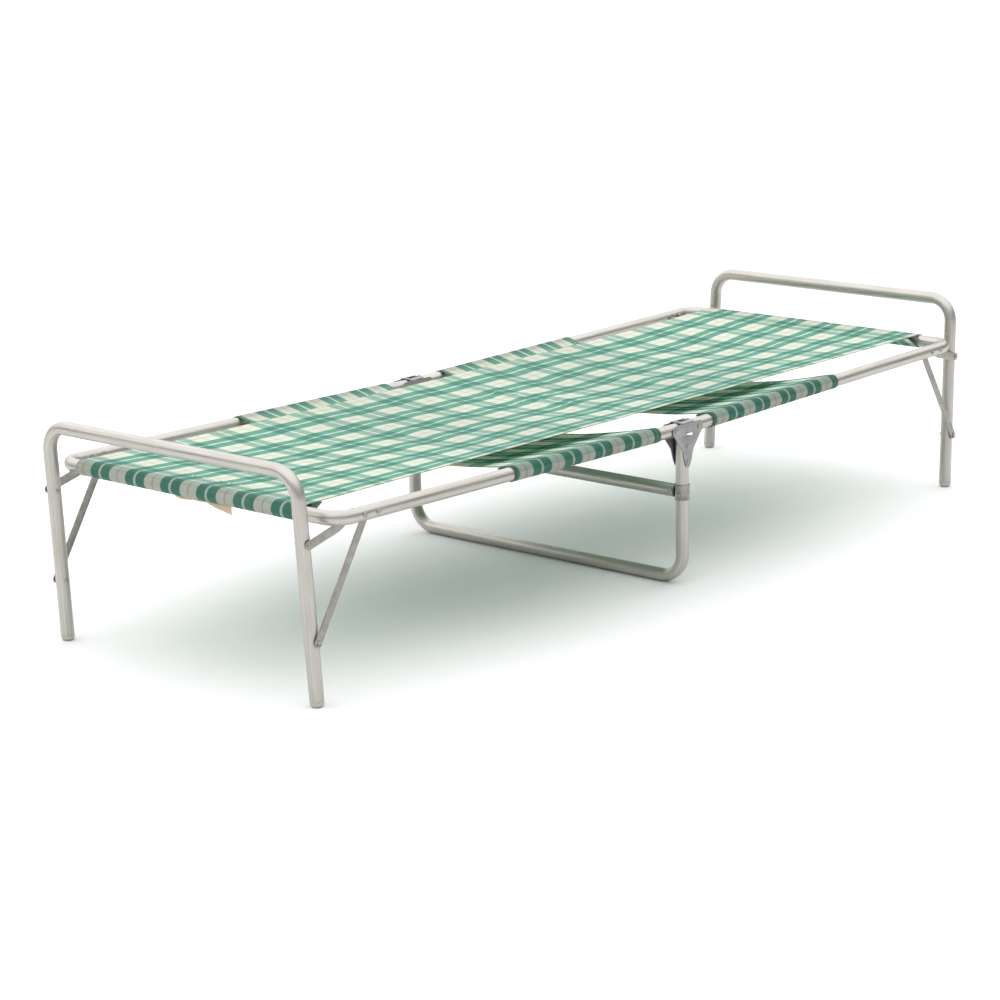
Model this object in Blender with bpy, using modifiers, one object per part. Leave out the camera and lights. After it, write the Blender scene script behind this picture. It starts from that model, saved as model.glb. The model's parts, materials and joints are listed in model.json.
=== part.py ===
"""Folding aluminium camp cot: two hinged half frames, a middle leg, two folding end legs and a sling.

Metres, +Z up, floor at Z = 0.  X runs along the bed, from the foot end (-X) to the head end (+X),
and Y runs across it, with the left side at +Y.  Both ends and both sides are the same, so each
sub-part is made by one function that takes the sign of its end, its side, or both.
"""
import math

import bmesh
import bpy
from mathutils import Matrix, Vector

# ---- Driving dimensions -------------------------------------------------------------------------

TUBE_RADIUS = 0.0127            # every leg and rail is the same 1 inch tube
TUBE_WALL = 0.0013
TUBE_SIDES_RESOLUTION = 4       # bevel resolution of a tube: 12 sides
BEND_STEPS = 6                  # straight pieces in a bent corner
GAP = 0.0003                    # air between two pieces that touch

RAIL_Y = 0.350                  # side rail axis, from the centre line
RAIL_END_X = 0.935              # end tube axis, from the middle hinge
RAIL_END_Z = 0.322              # rail axis at the ends
RAIL_MIDDLE_Z = 0.309           # rail axis at the middle hinge, which hangs a little lower
RAIL_STUB_X = 0.0095            # each rail stops this far from the middle
FRAME_BEND = 0.038

HINGE_X = 0.0345                # each half folds about its own rivet, this far from the middle
FLAP_THICKNESS = 0.0018
FLAP_TAB_X = 0.0190             # half the length of the tab that folds over as the saddle

LEG_FLOOR_X = 0.969             # end leg post axis where it meets the floor
LEG_LEAN = 0.055                # outward lean of an end leg, per metre of height
LEG_Y = 0.3212                  # end leg post axis at the floor
LEG_SPLAY = 0.016               # the posts spread towards the floor, per metre of height
LEG_TOP_Z = 0.4073              # axis of the loop that stands up at each end
LEG_TUBE_END_Z = 0.012          # the tube stops here and the foot plug carries on
LEG_BEND = 0.048
PLUG_SIDES = 12

MIDDLE_POST_TOP_Z = 0.288
MIDDLE_BEND = 0.050
CROSSBAR_Z = 0.185
COLLAR_HEIGHT = 0.031
COLLAR_WALL = 0.0016
COLLAR_SIDES = 16
STUB_LENGTH = 0.030             # the collar's spigot inside the crossbar
SPIGOT_SIDES = 14

LINK_RAIL_X = 0.880             # upper rivet of the short link, on the side rail
BRACE_RAIL_X = 0.848            # upper rivet of the long brace
LINK_LEG_Z = 0.286              # lower rivet of the short link, on the leg post
BRACE_LEG_Z = 0.1147            # lower rivet of the long brace
STRAP_WIDTH = 0.016
STRAP_THICKNESS = 0.0020
FLAT_HEAD_HEIGHT = 0.0009       # the brace's rail rivet is flat where the folding link passes it
BRACE_Y = 0.3357                # middle of the brace, which lies against the rail
LINK_Y = BRACE_Y - STRAP_THICKNESS - FLAT_HEAD_HEIGHT - 2 * GAP     # middle of the short link
LINK_ELBOW = 0.040              # distance of the short link's elbow from its rail rivet
LINK_ELBOW_OFFSET = 0.0058      # the elbow stands this far inward of the straight line

RIVET_RADIUS = 0.0024
RIVET_HEAD_RADIUS = 0.0048
RIVET_HEAD_HEIGHT = 0.0020
RIVET_CROWN = 0.62              # flat crown of a head, as a share of its radius
RIVET_EDGE = 0.35               # upright edge of a head, as a share of its height
RIVET_SIDES = 8
SPACER_RADIUS = 0.0050          # the ring between a strap and a tube
DRILL_REACH = 0.020             # a rivet hole's cutter reaches this far to each side

SLING_LEFT_Y = 0.294            # the long band sits slightly nearer the left rail
SLING_RIGHT_Y = -0.273
SLING_THICKNESS = 0.0014
SLING_HEM = 0.030               # the end sleeve is sewn this far inside the end tube
SLING_HEM_THICKNESS = 0.0021    # the sleeve's two layers where they are sewn together
SLING_MIDDLE_Z = 0.3345         # upper face of the band above the middle hinge
SLEEVE_WRAP = math.radians(200) # the band's sleeve goes this far round the end tube
SLEEVE_SIDES = 16
PANEL_INNER_X = 0.082           # the cross panel's sleeve on the side rails
PANEL_OUTER_X = 0.497
PANEL_WAIST = 0.050             # each edge of the panel is drawn in by this much at the middle
PANEL_SAG = 0.041               # the panel hangs this far below the rails' tops at the middle
PANEL_SEAM = 0.030              # its sleeves are sewn this far inside the rails' axes
PANEL_THICKNESS = 0.0012
LABEL_Y = (-0.095, 0.047)
LABEL_DROP = 0.016
LABEL_THICKNESS = 0.0012

ENDS = {"foot": -1, "head": 1}
SIDES = {"right": -1, "left": 1}

# ---- Scene, collections and materials -----------------------------------------------------------

for old_object in list(bpy.data.objects):
    bpy.data.objects.remove(old_object, do_unlink=True)

parts = bpy.data.collections.new("camp_cot")
cutters = bpy.data.collections.new("cutters")
bpy.context.scene.collection.children.link(parts)
bpy.context.scene.collection.children.link(cutters)


def material(name, colour, roughness, metallic):
    """A Principled material."""
    made = bpy.data.materials.new(name)
    made.use_nodes = True
    shader = made.node_tree.nodes["Principled BSDF"]
    shader.inputs["Base Color"].default_value = (*colour, 1.0)
    shader.inputs["Roughness"].default_value = roughness
    shader.inputs["Metallic"].default_value = metallic
    return made


ALUMINIUM = material("aluminium_tube", (0.66, 0.65, 0.62), 0.34, 1.0)
STEEL = material("zinc_steel", (0.48, 0.47, 0.45), 0.42, 1.0)
RIVET = material("rivet_metal", (0.62, 0.60, 0.56), 0.36, 1.0)
PLASTIC = material("foot_plastic", (0.70, 0.70, 0.68), 0.50, 0.0)
CLOTH = material("plaid_cloth", (0.42, 0.62, 0.52), 0.90, 0.0)
LABEL = material("label_cloth", (0.62, 0.47, 0.30), 0.85, 0.0)

# ---- Modelling helpers --------------------------------------------------------------------------


def smooth(mesh):
    """Shade a round piece smooth and keep its real edges sharp."""
    mesh.shade_smooth()
    mesh.set_sharp_from_angle(angle=math.radians(40))


def add_part(name, mesh, surface):
    """Put a finished mesh in the parts collection."""
    mesh.name = name
    mesh.materials.clear()
    mesh.materials.append(surface)
    smooth(mesh)
    made = bpy.data.objects.new(name, mesh)
    parts.objects.link(made)
    return made


def curve_mesh(curve, matrix=None):
    """The mesh of a curve, with its loose caps welded on."""
    holder = bpy.data.objects.new("outline", curve)
    bpy.context.scene.collection.objects.link(holder)
    if matrix is not None:
        holder.matrix_world = matrix
    bpy.context.view_layer.update()
    graph = bpy.context.evaluated_depsgraph_get()
    mesh = bpy.data.meshes.new_from_object(holder.evaluated_get(graph))
    mesh.transform(holder.matrix_world)
    bpy.data.objects.remove(holder)
    work = bmesh.new()
    work.from_mesh(mesh)
    bmesh.ops.remove_doubles(work, verts=work.verts, dist=0.00002)
    bmesh.ops.recalc_face_normals(work, faces=work.faces)
    work.to_mesh(mesh)
    work.free()
    return mesh


def rounded_path(corners, radius):
    """Points along a bent tube: straight runs joined by arcs of one radius."""
    points = [corners[0]]
    for before, corner, after in zip(corners, corners[1:], corners[2:]):
        back = (before - corner).normalized()
        ahead = (after - corner).normalized()
        half_angle = back.angle(ahead) / 2
        centre = corner + (back + ahead).normalized() * radius / math.sin(half_angle)
        start = corner + back * radius / math.tan(half_angle) - centre
        finish = corner + ahead * radius / math.tan(half_angle) - centre
        for step in range(BEND_STEPS + 1):
            points.append(centre + start.slerp(finish, step / BEND_STEPS) * radius)
    points.append(corners[-1])
    return points


def hollow_tube(name, path, surface, radius=TUBE_RADIUS, wall=TUBE_WALL):
    """A bent open tube along a path."""
    curve = bpy.data.curves.new(name, "CURVE")
    curve.dimensions = "3D"
    spline = curve.splines.new("POLY")
    spline.points.add(len(path) - 1)
    for point, place in zip(spline.points, path):
        point.co = (*place, 1.0)
    curve.bevel_depth = radius
    curve.bevel_resolution = TUBE_SIDES_RESOLUTION
    tube = add_part(name, curve_mesh(curve), surface)
    shell = tube.modifiers.new("wall", "SOLIDIFY")
    shell.thickness = wall
    shell.offset = -1.0
    shell.use_even_offset = True
    return tube


def outline_mesh(loops, thickness, matrix):
    """A flat plate: closed outlines, holes included, filled and given a thickness about zero."""
    curve = bpy.data.curves.new("plate", "CURVE")
    curve.dimensions = "2D"
    curve.fill_mode = "BOTH"
    curve.extrude = thickness / 2
    for loop in loops:
        spline = curve.splines.new("POLY")
        spline.points.add(len(loop) - 1)
        for point, (u, v) in zip(spline.points, loop):
            point.co = (u, v, 0.0, 1.0)
        spline.use_cyclic_u = True
    return curve_mesh(curve, matrix)


def side_plane(y):
    """Places a flat outline upright in the X-Z plane at a given Y: u is X and v is Z."""
    return Matrix.Translation((0, y, 0)) @ Matrix.Rotation(math.radians(90), 4, "X")


def circle(u, v, radius, steps=12):
    """A round outline."""
    turns = [2 * math.pi * step / steps for step in range(steps)]
    return [(u + radius * math.cos(turn), v + radius * math.sin(turn)) for turn in turns]


def hull_of_discs(discs, steps=8):
    """The outline of a strap that runs round two discs, each given as (u, v, radius)."""
    (u0, v0, r0), (u1, v1, r1) = discs
    heading = math.atan2(v1 - v0, u1 - u0)
    spread = math.acos((r0 - r1) / math.hypot(u1 - u0, v1 - v0))
    outline = []
    for step in range(steps + 1):
        turn = heading + spread + (2 * math.pi - 2 * spread) * step / steps
        outline.append((u0 + r0 * math.cos(turn), v0 + r0 * math.sin(turn)))
    for step in range(steps + 1):
        turn = heading - spread + 2 * spread * step / steps
        outline.append((u1 + r1 * math.cos(turn), v1 + r1 * math.sin(turn)))
    return outline


def join_meshes(meshes):
    """Several closed meshes in one, for use as a cutter."""
    work = bmesh.new()
    for mesh in meshes:
        work.from_mesh(mesh)
        bpy.data.meshes.remove(mesh)
    joined = bpy.data.meshes.new("cutter")
    work.to_mesh(joined)
    work.free()
    return joined


def rod_mesh(start, finish, radius, sides=RIVET_SIDES):
    """A plain round rod between two points."""
    start = Vector(start)
    axis = Vector(finish) - start
    work = bmesh.new()
    place = Matrix.Translation(start + axis / 2) @ axis.to_track_quat("Z", "Y").to_matrix().to_4x4()
    bmesh.ops.create_cone(
        work, cap_ends=True, segments=sides, radius1=radius, radius2=radius,
        depth=axis.length, matrix=place)
    mesh = bpy.data.meshes.new("rod")
    work.to_mesh(mesh)
    work.free()
    return mesh


def box_mesh(low, high):
    """A plain box between two corners."""
    low = Vector(low)
    size = Vector(high) - low
    work = bmesh.new()
    place = Matrix.Translation(low + size / 2) @ Matrix.Diagonal((*size, 1.0))
    bmesh.ops.create_cube(work, size=1.0, matrix=place)
    mesh = bpy.data.meshes.new("box")
    work.to_mesh(mesh)
    work.free()
    return mesh


def boolean(target, meshes, operation):
    """Cut or join closed meshes with a part, through a hidden helper object."""
    helper = bpy.data.objects.new(target.name + "_" + operation.lower(), join_meshes(meshes))
    cutters.objects.link(helper)
    helper.hide_render = True
    helper.display_type = "WIRE"
    modifier = target.modifiers.new(operation.lower(), "BOOLEAN")
    modifier.operation = operation
    modifier.solver = "EXACT"
    modifier.object = helper


def rivet(name, start, finish, spacer=None, start_head=RIVET_HEAD_HEIGHT):
    """A rivet with a head at each end, whose inner faces are at start and finish.

    A spacer is the two distances from start between which a wider ring fills a gap in the work.
    The head at the start may have a height of its own.
    """
    start = Vector(start)
    axis = Vector(finish) - start
    length = axis.length
    crown = RIVET_HEAD_RADIUS * RIVET_CROWN
    edge = RIVET_HEAD_HEIGHT * RIVET_EDGE
    profile = [(0.0, length + RIVET_HEAD_HEIGHT), (crown, length + RIVET_HEAD_HEIGHT),
               (RIVET_HEAD_RADIUS, length + edge), (RIVET_HEAD_RADIUS, length),
               (RIVET_RADIUS, length)]
    if spacer is not None:
        low, high = sorted(spacer)
        profile += [(RIVET_RADIUS, high), (SPACER_RADIUS, high),
                    (SPACER_RADIUS, low), (RIVET_RADIUS, low)]
    profile += [(RIVET_RADIUS, 0.0), (RIVET_HEAD_RADIUS, 0.0),
                (RIVET_HEAD_RADIUS, -start_head * RIVET_EDGE), (crown, -start_head),
                (0.0, -start_head)]
    return turned(name, profile, start, axis, RIVET, RIVET_SIDES)


def turned(name, profile, start, axis, surface, sides):
    """A turned piece: a profile of (radius, distance along the axis), from the far end back."""
    mesh = bpy.data.meshes.new(name)
    edges = [(index, index + 1) for index in range(len(profile) - 1)]
    mesh.from_pydata([(radius, 0.0, along) for radius, along in profile], edges, [])
    made = add_part(name, mesh, surface)
    screw = made.modifiers.new("turn", "SCREW")
    screw.steps = sides
    screw.render_steps = sides
    screw.use_merge_vertices = True
    screw.merge_threshold = 0.00005
    screw.use_normal_calculate = False
    turn = Vector(axis).to_track_quat("Z", "Y").to_matrix().to_4x4()
    made.matrix_world = Matrix.Translation(Vector(start)) @ turn
    return made


def pivot(name, x, z, parent=None):
    """An empty on a joint axis, which runs along Y."""
    made = bpy.data.objects.new(name, None)
    made.empty_display_size = 0.03
    parts.objects.link(made)
    made.location = (x, 0.0, z)
    bpy.context.view_layer.update()
    if parent is not None:
        attach(made, parent)
    return made


def attach(child, parent):
    """Parent without moving."""
    bpy.context.view_layer.update()
    child.parent = parent
    child.matrix_parent_inverse = parent.matrix_world.inverted()
    bpy.context.view_layer.update()


# ---- Places worked out from the dimensions ------------------------------------------------------


def rail_z(x):
    """Height of the rail axis: each half rises from the middle hinge to its end."""
    return RAIL_MIDDLE_Z + (RAIL_END_Z - RAIL_MIDDLE_Z) * abs(x) / RAIL_END_X


def leg_point(end, side, z):
    """A point on an end leg's post axis."""
    return Vector((end * (LEG_FLOOR_X + LEG_LEAN * z), side * (LEG_Y - LEG_SPLAY * z), z))


def link_places(end):
    """The short link's two rivets, in X and Z."""
    leg = leg_point(end, 1, LINK_LEG_Z)
    return Vector((end * LINK_RAIL_X, rail_z(LINK_RAIL_X))), Vector((leg.x, leg.z))


def brace_places(end):
    """The long brace's two rivets, in X and Z."""
    leg = leg_point(end, 1, BRACE_LEG_Z)
    return Vector((end * BRACE_RAIL_X, rail_z(BRACE_RAIL_X))), Vector((leg.x, leg.z))


def across_hole(x, y, z):
    """A cutter for a rivet hole that runs across the bed, centred on a point."""
    return rod_mesh((x, y - DRILL_REACH, z), (x, y + DRILL_REACH, z), RIVET_RADIUS + GAP)


def lengthwise_hole(y, z):
    """A cutter for a rivet hole that runs along the bed, through the middle leg's plane."""
    return rod_mesh((-DRILL_REACH, y, z), (DRILL_REACH, y, z), RIVET_RADIUS + GAP)


# ---- Frame, legs and middle support -------------------------------------------------------------


def half_frame(end_name, end):
    """One U-shaped half of the bed frame, with the holes of its rivets."""
    inner = end * RAIL_STUB_X
    outer = end * RAIL_END_X
    corners = [Vector((inner, -RAIL_Y, rail_z(inner))), Vector((outer, -RAIL_Y, RAIL_END_Z)),
               Vector((outer, RAIL_Y, RAIL_END_Z)), Vector((inner, RAIL_Y, rail_z(inner)))]
    frame = hollow_tube(end_name + "_half_frame", rounded_path(corners, FRAME_BEND), ALUMINIUM)
    holes = [across_hole(end * x, side * RAIL_Y, rail_z(x))
             for side in SIDES.values() for x in (HINGE_X, LINK_RAIL_X, BRACE_RAIL_X)]
    boolean(frame, holes, "DIFFERENCE")
    return frame


def end_leg(end_name, end):
    """An end leg: one bent tube that is both posts and the loop above the bed."""
    tip = LEG_TUBE_END_Z
    corners = [leg_point(end, -1, tip), leg_point(end, -1, LEG_TOP_Z),
               leg_point(end, 1, LEG_TOP_Z), leg_point(end, 1, tip)]
    leg = hollow_tube(end_name + "_end_leg", rounded_path(corners, LEG_BEND), ALUMINIUM)
    holes = [across_hole(*leg_point(end, side, z))
             for side in SIDES.values() for z in (LINK_LEG_Z, BRACE_LEG_Z)]
    boolean(leg, holes, "DIFFERENCE")
    return leg


def foot_plug(name, end, side):
    """The moulded tip in the bottom of an end leg's post, worn flat where it meets the floor."""
    tip_radius = 0.0085
    rim_height = 0.0045
    stem_top = 0.030
    stem_taper = 0.0015
    worn = 0.0006
    bore = TUBE_RADIUS - TUBE_WALL - 2 * GAP
    rim = TUBE_RADIUS - GAP
    low = leg_point(end, side, 0.0)
    axis = (leg_point(end, side, 1.0) - low).normalized()
    tilt = axis.angle(Vector((0, 0, 1)))
    shoulder = LEG_TUBE_END_Z - TUBE_RADIUS * math.sin(tilt) - GAP
    profile = [(0.0, stem_top), (bore - stem_taper, stem_top), (bore, stem_top - stem_taper),
               (bore, shoulder), (rim, shoulder), (rim, rim_height), (tip_radius, -worn),
               (0.0, -worn)]
    plug = turned(name, profile, low, axis, PLASTIC, PLUG_SIDES)
    reach = 2 * TUBE_RADIUS
    below_floor = box_mesh(low - Vector((reach, reach, reach)), low + Vector((reach, reach, 0)))
    boolean(plug, [below_floor], "DIFFERENCE")
    return plug


def middle_leg():
    """The U-shaped leg under the middle hinge, whose lower run lies on the floor."""
    corners = [Vector((0, RAIL_Y, MIDDLE_POST_TOP_Z)), Vector((0, RAIL_Y, TUBE_RADIUS)),
               Vector((0, -RAIL_Y, TUBE_RADIUS)), Vector((0, -RAIL_Y, MIDDLE_POST_TOP_Z))]
    leg = hollow_tube("middle_leg", rounded_path(corners, MIDDLE_BEND), ALUMINIUM)
    holes = []
    for side in SIDES.values():
        holes += [across_hole(0, side * RAIL_Y, z) for z in bracket_rivet_heights()]
        holes.append(lengthwise_hole(*post_rivet_place(side)))
    boolean(leg, holes, "DIFFERENCE")
    return leg


def bracket_rivet_heights():
    """Heights of the two rivets that hold a hinge bracket to the middle leg."""
    return RAIL_MIDDLE_Z - 0.033, RAIL_MIDDLE_Z - 0.062


def post_rivet_place(side):
    """Y and Z of the rivet through a collar and the middle leg's post."""
    return side * (RAIL_Y + 0.002), CROSSBAR_Z - 0.004


def bar_rivet_place(side):
    """Y and Z of the rivet through the crossbar and the collar's spigot."""
    return side * (RAIL_Y - 0.0215), CROSSBAR_Z + 0.002


def collar(name, side):
    """The sleeve round the middle leg's post, with the spigot that the crossbar slides over."""
    inner = TUBE_RADIUS + 2 * GAP
    outer = inner + COLLAR_WALL
    half = COLLAR_HEIGHT / 2
    edge = 0.0005
    profile = [(outer - edge, half), (outer, half - edge), (outer, edge - half),
               (outer - edge, -half), (inner, -half), (inner, half), (outer - edge, half)]
    made = turned(name, profile, (0, side * RAIL_Y, CROSSBAR_Z), (0, 0, 1), STEEL, COLLAR_SIDES)
    bore = TUBE_RADIUS - TUBE_WALL - 2 * GAP
    root = RAIL_Y - inner - COLLAR_WALL / 2
    tip = root - STUB_LENGTH
    boolean(made, [rod_mesh((0, side * tip, CROSSBAR_Z), (0, side * root, CROSSBAR_Z), bore,
                            SPIGOT_SIDES)], "UNION")
    boolean(made, [lengthwise_hole(*post_rivet_place(side)), lengthwise_hole(*bar_rivet_place(side))],
            "DIFFERENCE")
    return made


def crossbar():
    """The tube between the middle leg's posts."""
    reach = RAIL_Y - TUBE_RADIUS - 3 * GAP - COLLAR_WALL
    bar = hollow_tube("middle_crossbar", [Vector((0, -reach, CROSSBAR_Z)),
                                          Vector((0, reach, CROSSBAR_Z))], ALUMINIUM)
    boolean(bar, [lengthwise_hole(*bar_rivet_place(side)) for side in SIDES.values()], "DIFFERENCE")
    return bar


def flap_outline():
    """A hinge flap: a saddle tab, two round shoulders at the rivets and a taper down the post."""
    pivot_z = rail_z(HINGE_X)
    shoulder = 0.0115
    flank = 0.001
    tab_top = RAIL_MIDDLE_Z + TUBE_RADIUS + 2 * GAP + FLAP_THICKNESS
    waist_x = 0.0165
    waist_z = RAIL_MIDDLE_Z - 0.040
    tip_z = RAIL_MIDDLE_Z - 0.074
    tip_x = 0.0055
    tip_corner = 0.003
    half = [(FLAP_TAB_X, tab_top), (FLAP_TAB_X + flank, pivot_z + shoulder)]
    for step in range(7):
        turn = math.radians(90 - 20 * step)
        half.append((HINGE_X + shoulder * math.cos(turn), pivot_z + shoulder * math.sin(turn)))
    half += [(waist_x, waist_z), (tip_x, tip_z + tip_corner), (tip_x - tip_corner, tip_z)]
    return half + [(-u, v) for u, v in reversed(half)]


def slot_outline():
    """The arched slot between the two hinge rivets of the outer flap."""
    centre_z = RAIL_MIDDLE_Z - 0.0375
    radius = 0.0290
    half_width = 0.0026
    reach = math.radians(31)
    steps = 8
    outline = []
    for step in range(steps + 1):
        turn = math.radians(90) + reach * (1 - 2 * step / steps)
        outline.append(((radius + half_width) * math.cos(turn),
                        centre_z + (radius + half_width) * math.sin(turn)))
    for step in range(steps + 1):
        turn = math.radians(90) - reach * (1 - 2 * step / steps)
        outline.append(((radius - half_width) * math.cos(turn),
                        centre_z + (radius - half_width) * math.sin(turn)))
    return outline


def hinge_bracket(name, side):
    """Two flaps joined over the rail by a short saddle, which has a window in it."""
    reach = TUBE_RADIUS + 2 * GAP
    middle = reach + FLAP_THICKNESS / 2
    holes = [circle(sign * HINGE_X, rail_z(HINGE_X), RIVET_RADIUS + GAP) for sign in (-1, 1)]
    holes += [circle(0, z, RIVET_RADIUS + GAP) for z in bracket_rivet_heights()]
    outer = outline_mesh([flap_outline(), slot_outline()] + holes, FLAP_THICKNESS,
                         side_plane(side * (RAIL_Y + middle)))
    inner = outline_mesh([flap_outline()] + holes, FLAP_THICKNESS,
                         side_plane(side * (RAIL_Y - middle)))
    made = add_part(name, outer, STEEL)
    saddle_inset = 0.0005
    saddle_step = 0.0001
    saddle_x = FLAP_TAB_X - saddle_inset
    saddle_low = RAIL_MIDDLE_Z + reach
    saddle_high = saddle_low + FLAP_THICKNESS - saddle_step
    saddle_y = sorted((side * (RAIL_Y - middle), side * (RAIL_Y + middle)))
    saddle = box_mesh((-saddle_x, saddle_y[0], saddle_low), (saddle_x, saddle_y[1], saddle_high))
    boolean(made, [inner], "UNION")
    boolean(made, [saddle], "UNION")
    window_x = 0.011
    window_y = 0.006
    window = box_mesh((-window_x, side * RAIL_Y - window_y, saddle_low - FLAP_THICKNESS),
                      (window_x, side * RAIL_Y + window_y, saddle_high + FLAP_THICKNESS))
    boolean(made, [window], "DIFFERENCE")
    return made


# ---- Straps -------------------------------------------------------------------------------------


def short_link(name, end, side):
    """The dog-leg strap from the side rail down to the leg post."""
    top, low = link_places(end)
    along = (low - top).normalized()
    inward = Vector((-end * abs(along.y), -abs(along.x)))
    elbow = top + along * LINK_ELBOW + inward * LINK_ELBOW_OFFSET
    radius = STRAP_WIDTH / 2
    plates = [outline_mesh([hull_of_discs([(*start, radius), (*finish, radius)])],
                           STRAP_THICKNESS, side_plane(side * LINK_Y))
              for start, finish in ((top, elbow), (elbow, low))]
    made = add_part(name, plates[0], STEEL)
    boolean(made, [plates[1]], "UNION")
    boolean(made, [across_hole(place.x, side * LINK_Y, place.y) for place in (top, low)],
            "DIFFERENCE")
    return made


def brace(name, end, side):
    """The long flat strap from the side rail to the lower part of the leg post."""
    top, low = brace_places(end)
    radius = STRAP_WIDTH / 2
    outline = hull_of_discs([(*top, radius), (*low, radius)])
    holes = [circle(*place, RIVET_RADIUS + GAP) for place in (top, low)]
    mesh = outline_mesh([outline] + holes, STRAP_THICKNESS, side_plane(side * BRACE_Y))
    return add_part(name, mesh, STEEL)


def link_rail_rivet(name, place, side):
    """A rivet through a side rail and the short link, with a spacer between them."""
    rail_inner = RAIL_Y - TUBE_RADIUS - GAP
    rail_outer = RAIL_Y + TUBE_RADIUS + GAP
    link_inner = LINK_Y - STRAP_THICKNESS / 2 - GAP
    link_outer = LINK_Y + STRAP_THICKNESS / 2 + GAP
    return rivet(name, (place.x, side * link_inner, place.y),
                 (place.x, side * rail_outer, place.y),
                 (link_outer - link_inner, rail_inner - link_inner))


def brace_rail_rivet(name, place, side):
    """A rivet through a side rail and the brace, with a flat head towards the short link."""
    brace_inner = BRACE_Y - STRAP_THICKNESS / 2 - GAP
    rail_outer = RAIL_Y + TUBE_RADIUS + GAP
    return rivet(name, (place.x, side * brace_inner, place.y),
                 (place.x, side * rail_outer, place.y), start_head=FLAT_HEAD_HEIGHT)


def link_leg_rivet(name, end, side):
    """A rivet through the short link and the leg post, with a spacer between them."""
    centre = leg_point(end, side, LINK_LEG_Z)
    post_inner = abs(centre.y) - TUBE_RADIUS - GAP
    post_outer = abs(centre.y) + TUBE_RADIUS + GAP
    link_inner = LINK_Y - STRAP_THICKNESS / 2 - GAP
    link_outer = LINK_Y + STRAP_THICKNESS / 2 + GAP
    return rivet(name, (centre.x, side * post_inner, centre.z),
                 (centre.x, side * link_outer, centre.z),
                 (post_outer - post_inner, link_inner - post_inner))


def brace_leg_rivet(name, end, side, in_brace):
    """Half of the rivet at the brace's lower end: its head in the brace, or its stem in the post.

    The two halves part at the brace's inner face, because the folding leg is carried by the short
    links and this pivot is the one that is left open.  The post's half has the spacer.
    """
    centre = leg_point(end, side, BRACE_LEG_Z)
    parting = BRACE_Y - STRAP_THICKNESS / 2
    head = [(RIVET_RADIUS, 0.0), (RIVET_HEAD_RADIUS, 0.0),
            (RIVET_HEAD_RADIUS, -RIVET_HEAD_HEIGHT * RIVET_EDGE),
            (RIVET_HEAD_RADIUS * RIVET_CROWN, -RIVET_HEAD_HEIGHT), (0.0, -RIVET_HEAD_HEIGHT)]
    if in_brace:
        root = BRACE_Y + STRAP_THICKNESS / 2 + GAP
        length = root - parting
        stem = [(0.0, length), (RIVET_RADIUS, length)]
        heading = -side
    else:
        root = abs(centre.y) - TUBE_RADIUS - GAP
        length = parting - GAP - root
        spacer_start = 2 * (TUBE_RADIUS + GAP)
        stem = [(0.0, length), (SPACER_RADIUS, length), (SPACER_RADIUS, spacer_start),
                (RIVET_RADIUS, spacer_start)]
        heading = side
    return turned(name, stem + head, (centre.x, side * root, centre.z), (0, heading, 0), RIVET,
                  RIVET_SIDES)


# ---- Cloth --------------------------------------------------------------------------------------


def sling_half(end_name, end):
    """Half of the long band: a sleeve round the end tube and a flat run to the middle."""
    inner = TUBE_RADIUS + 2 * GAP
    outer = inner + SLING_THICKNESS
    tube_x = end * RAIL_END_X
    middle_x = end * GAP / 2
    hem_x = tube_x - end * (outer + SLING_HEM)
    hem_z = RAIL_END_Z + outer - SLING_HEM_THICKNESS
    outline = [(middle_x, SLING_MIDDLE_Z), (tube_x, RAIL_END_Z + outer)]
    turns = 14
    for step in range(1, turns):
        turn = math.radians(90) - SLEEVE_WRAP * step / turns
        outline.append((tube_x + end * outer * math.cos(turn), RAIL_END_Z + outer * math.sin(turn)))
    outline += [(hem_x, hem_z), (middle_x, SLING_MIDDLE_Z - SLING_THICKNESS)]
    bore = circle(tube_x, RAIL_END_Z, inner, SLEEVE_SIDES)
    mesh = outline_mesh([outline, bore], SLING_LEFT_Y - SLING_RIGHT_Y,
                        side_plane((SLING_LEFT_Y + SLING_RIGHT_Y) / 2))
    return add_part(end_name + "_sling", mesh, CLOTH)


def sagging_web(top_y, top_z, lower):
    """Points across a cross panel's web, from the left sleeve to the right, hanging in a parabola."""
    steps = 16
    points = []
    for step in range(steps + 1):
        share = 1 - 2 * step / steps
        points.append((share * top_y, top_z - lower - PANEL_SAG * (1 - share * share)))
    return points


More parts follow.
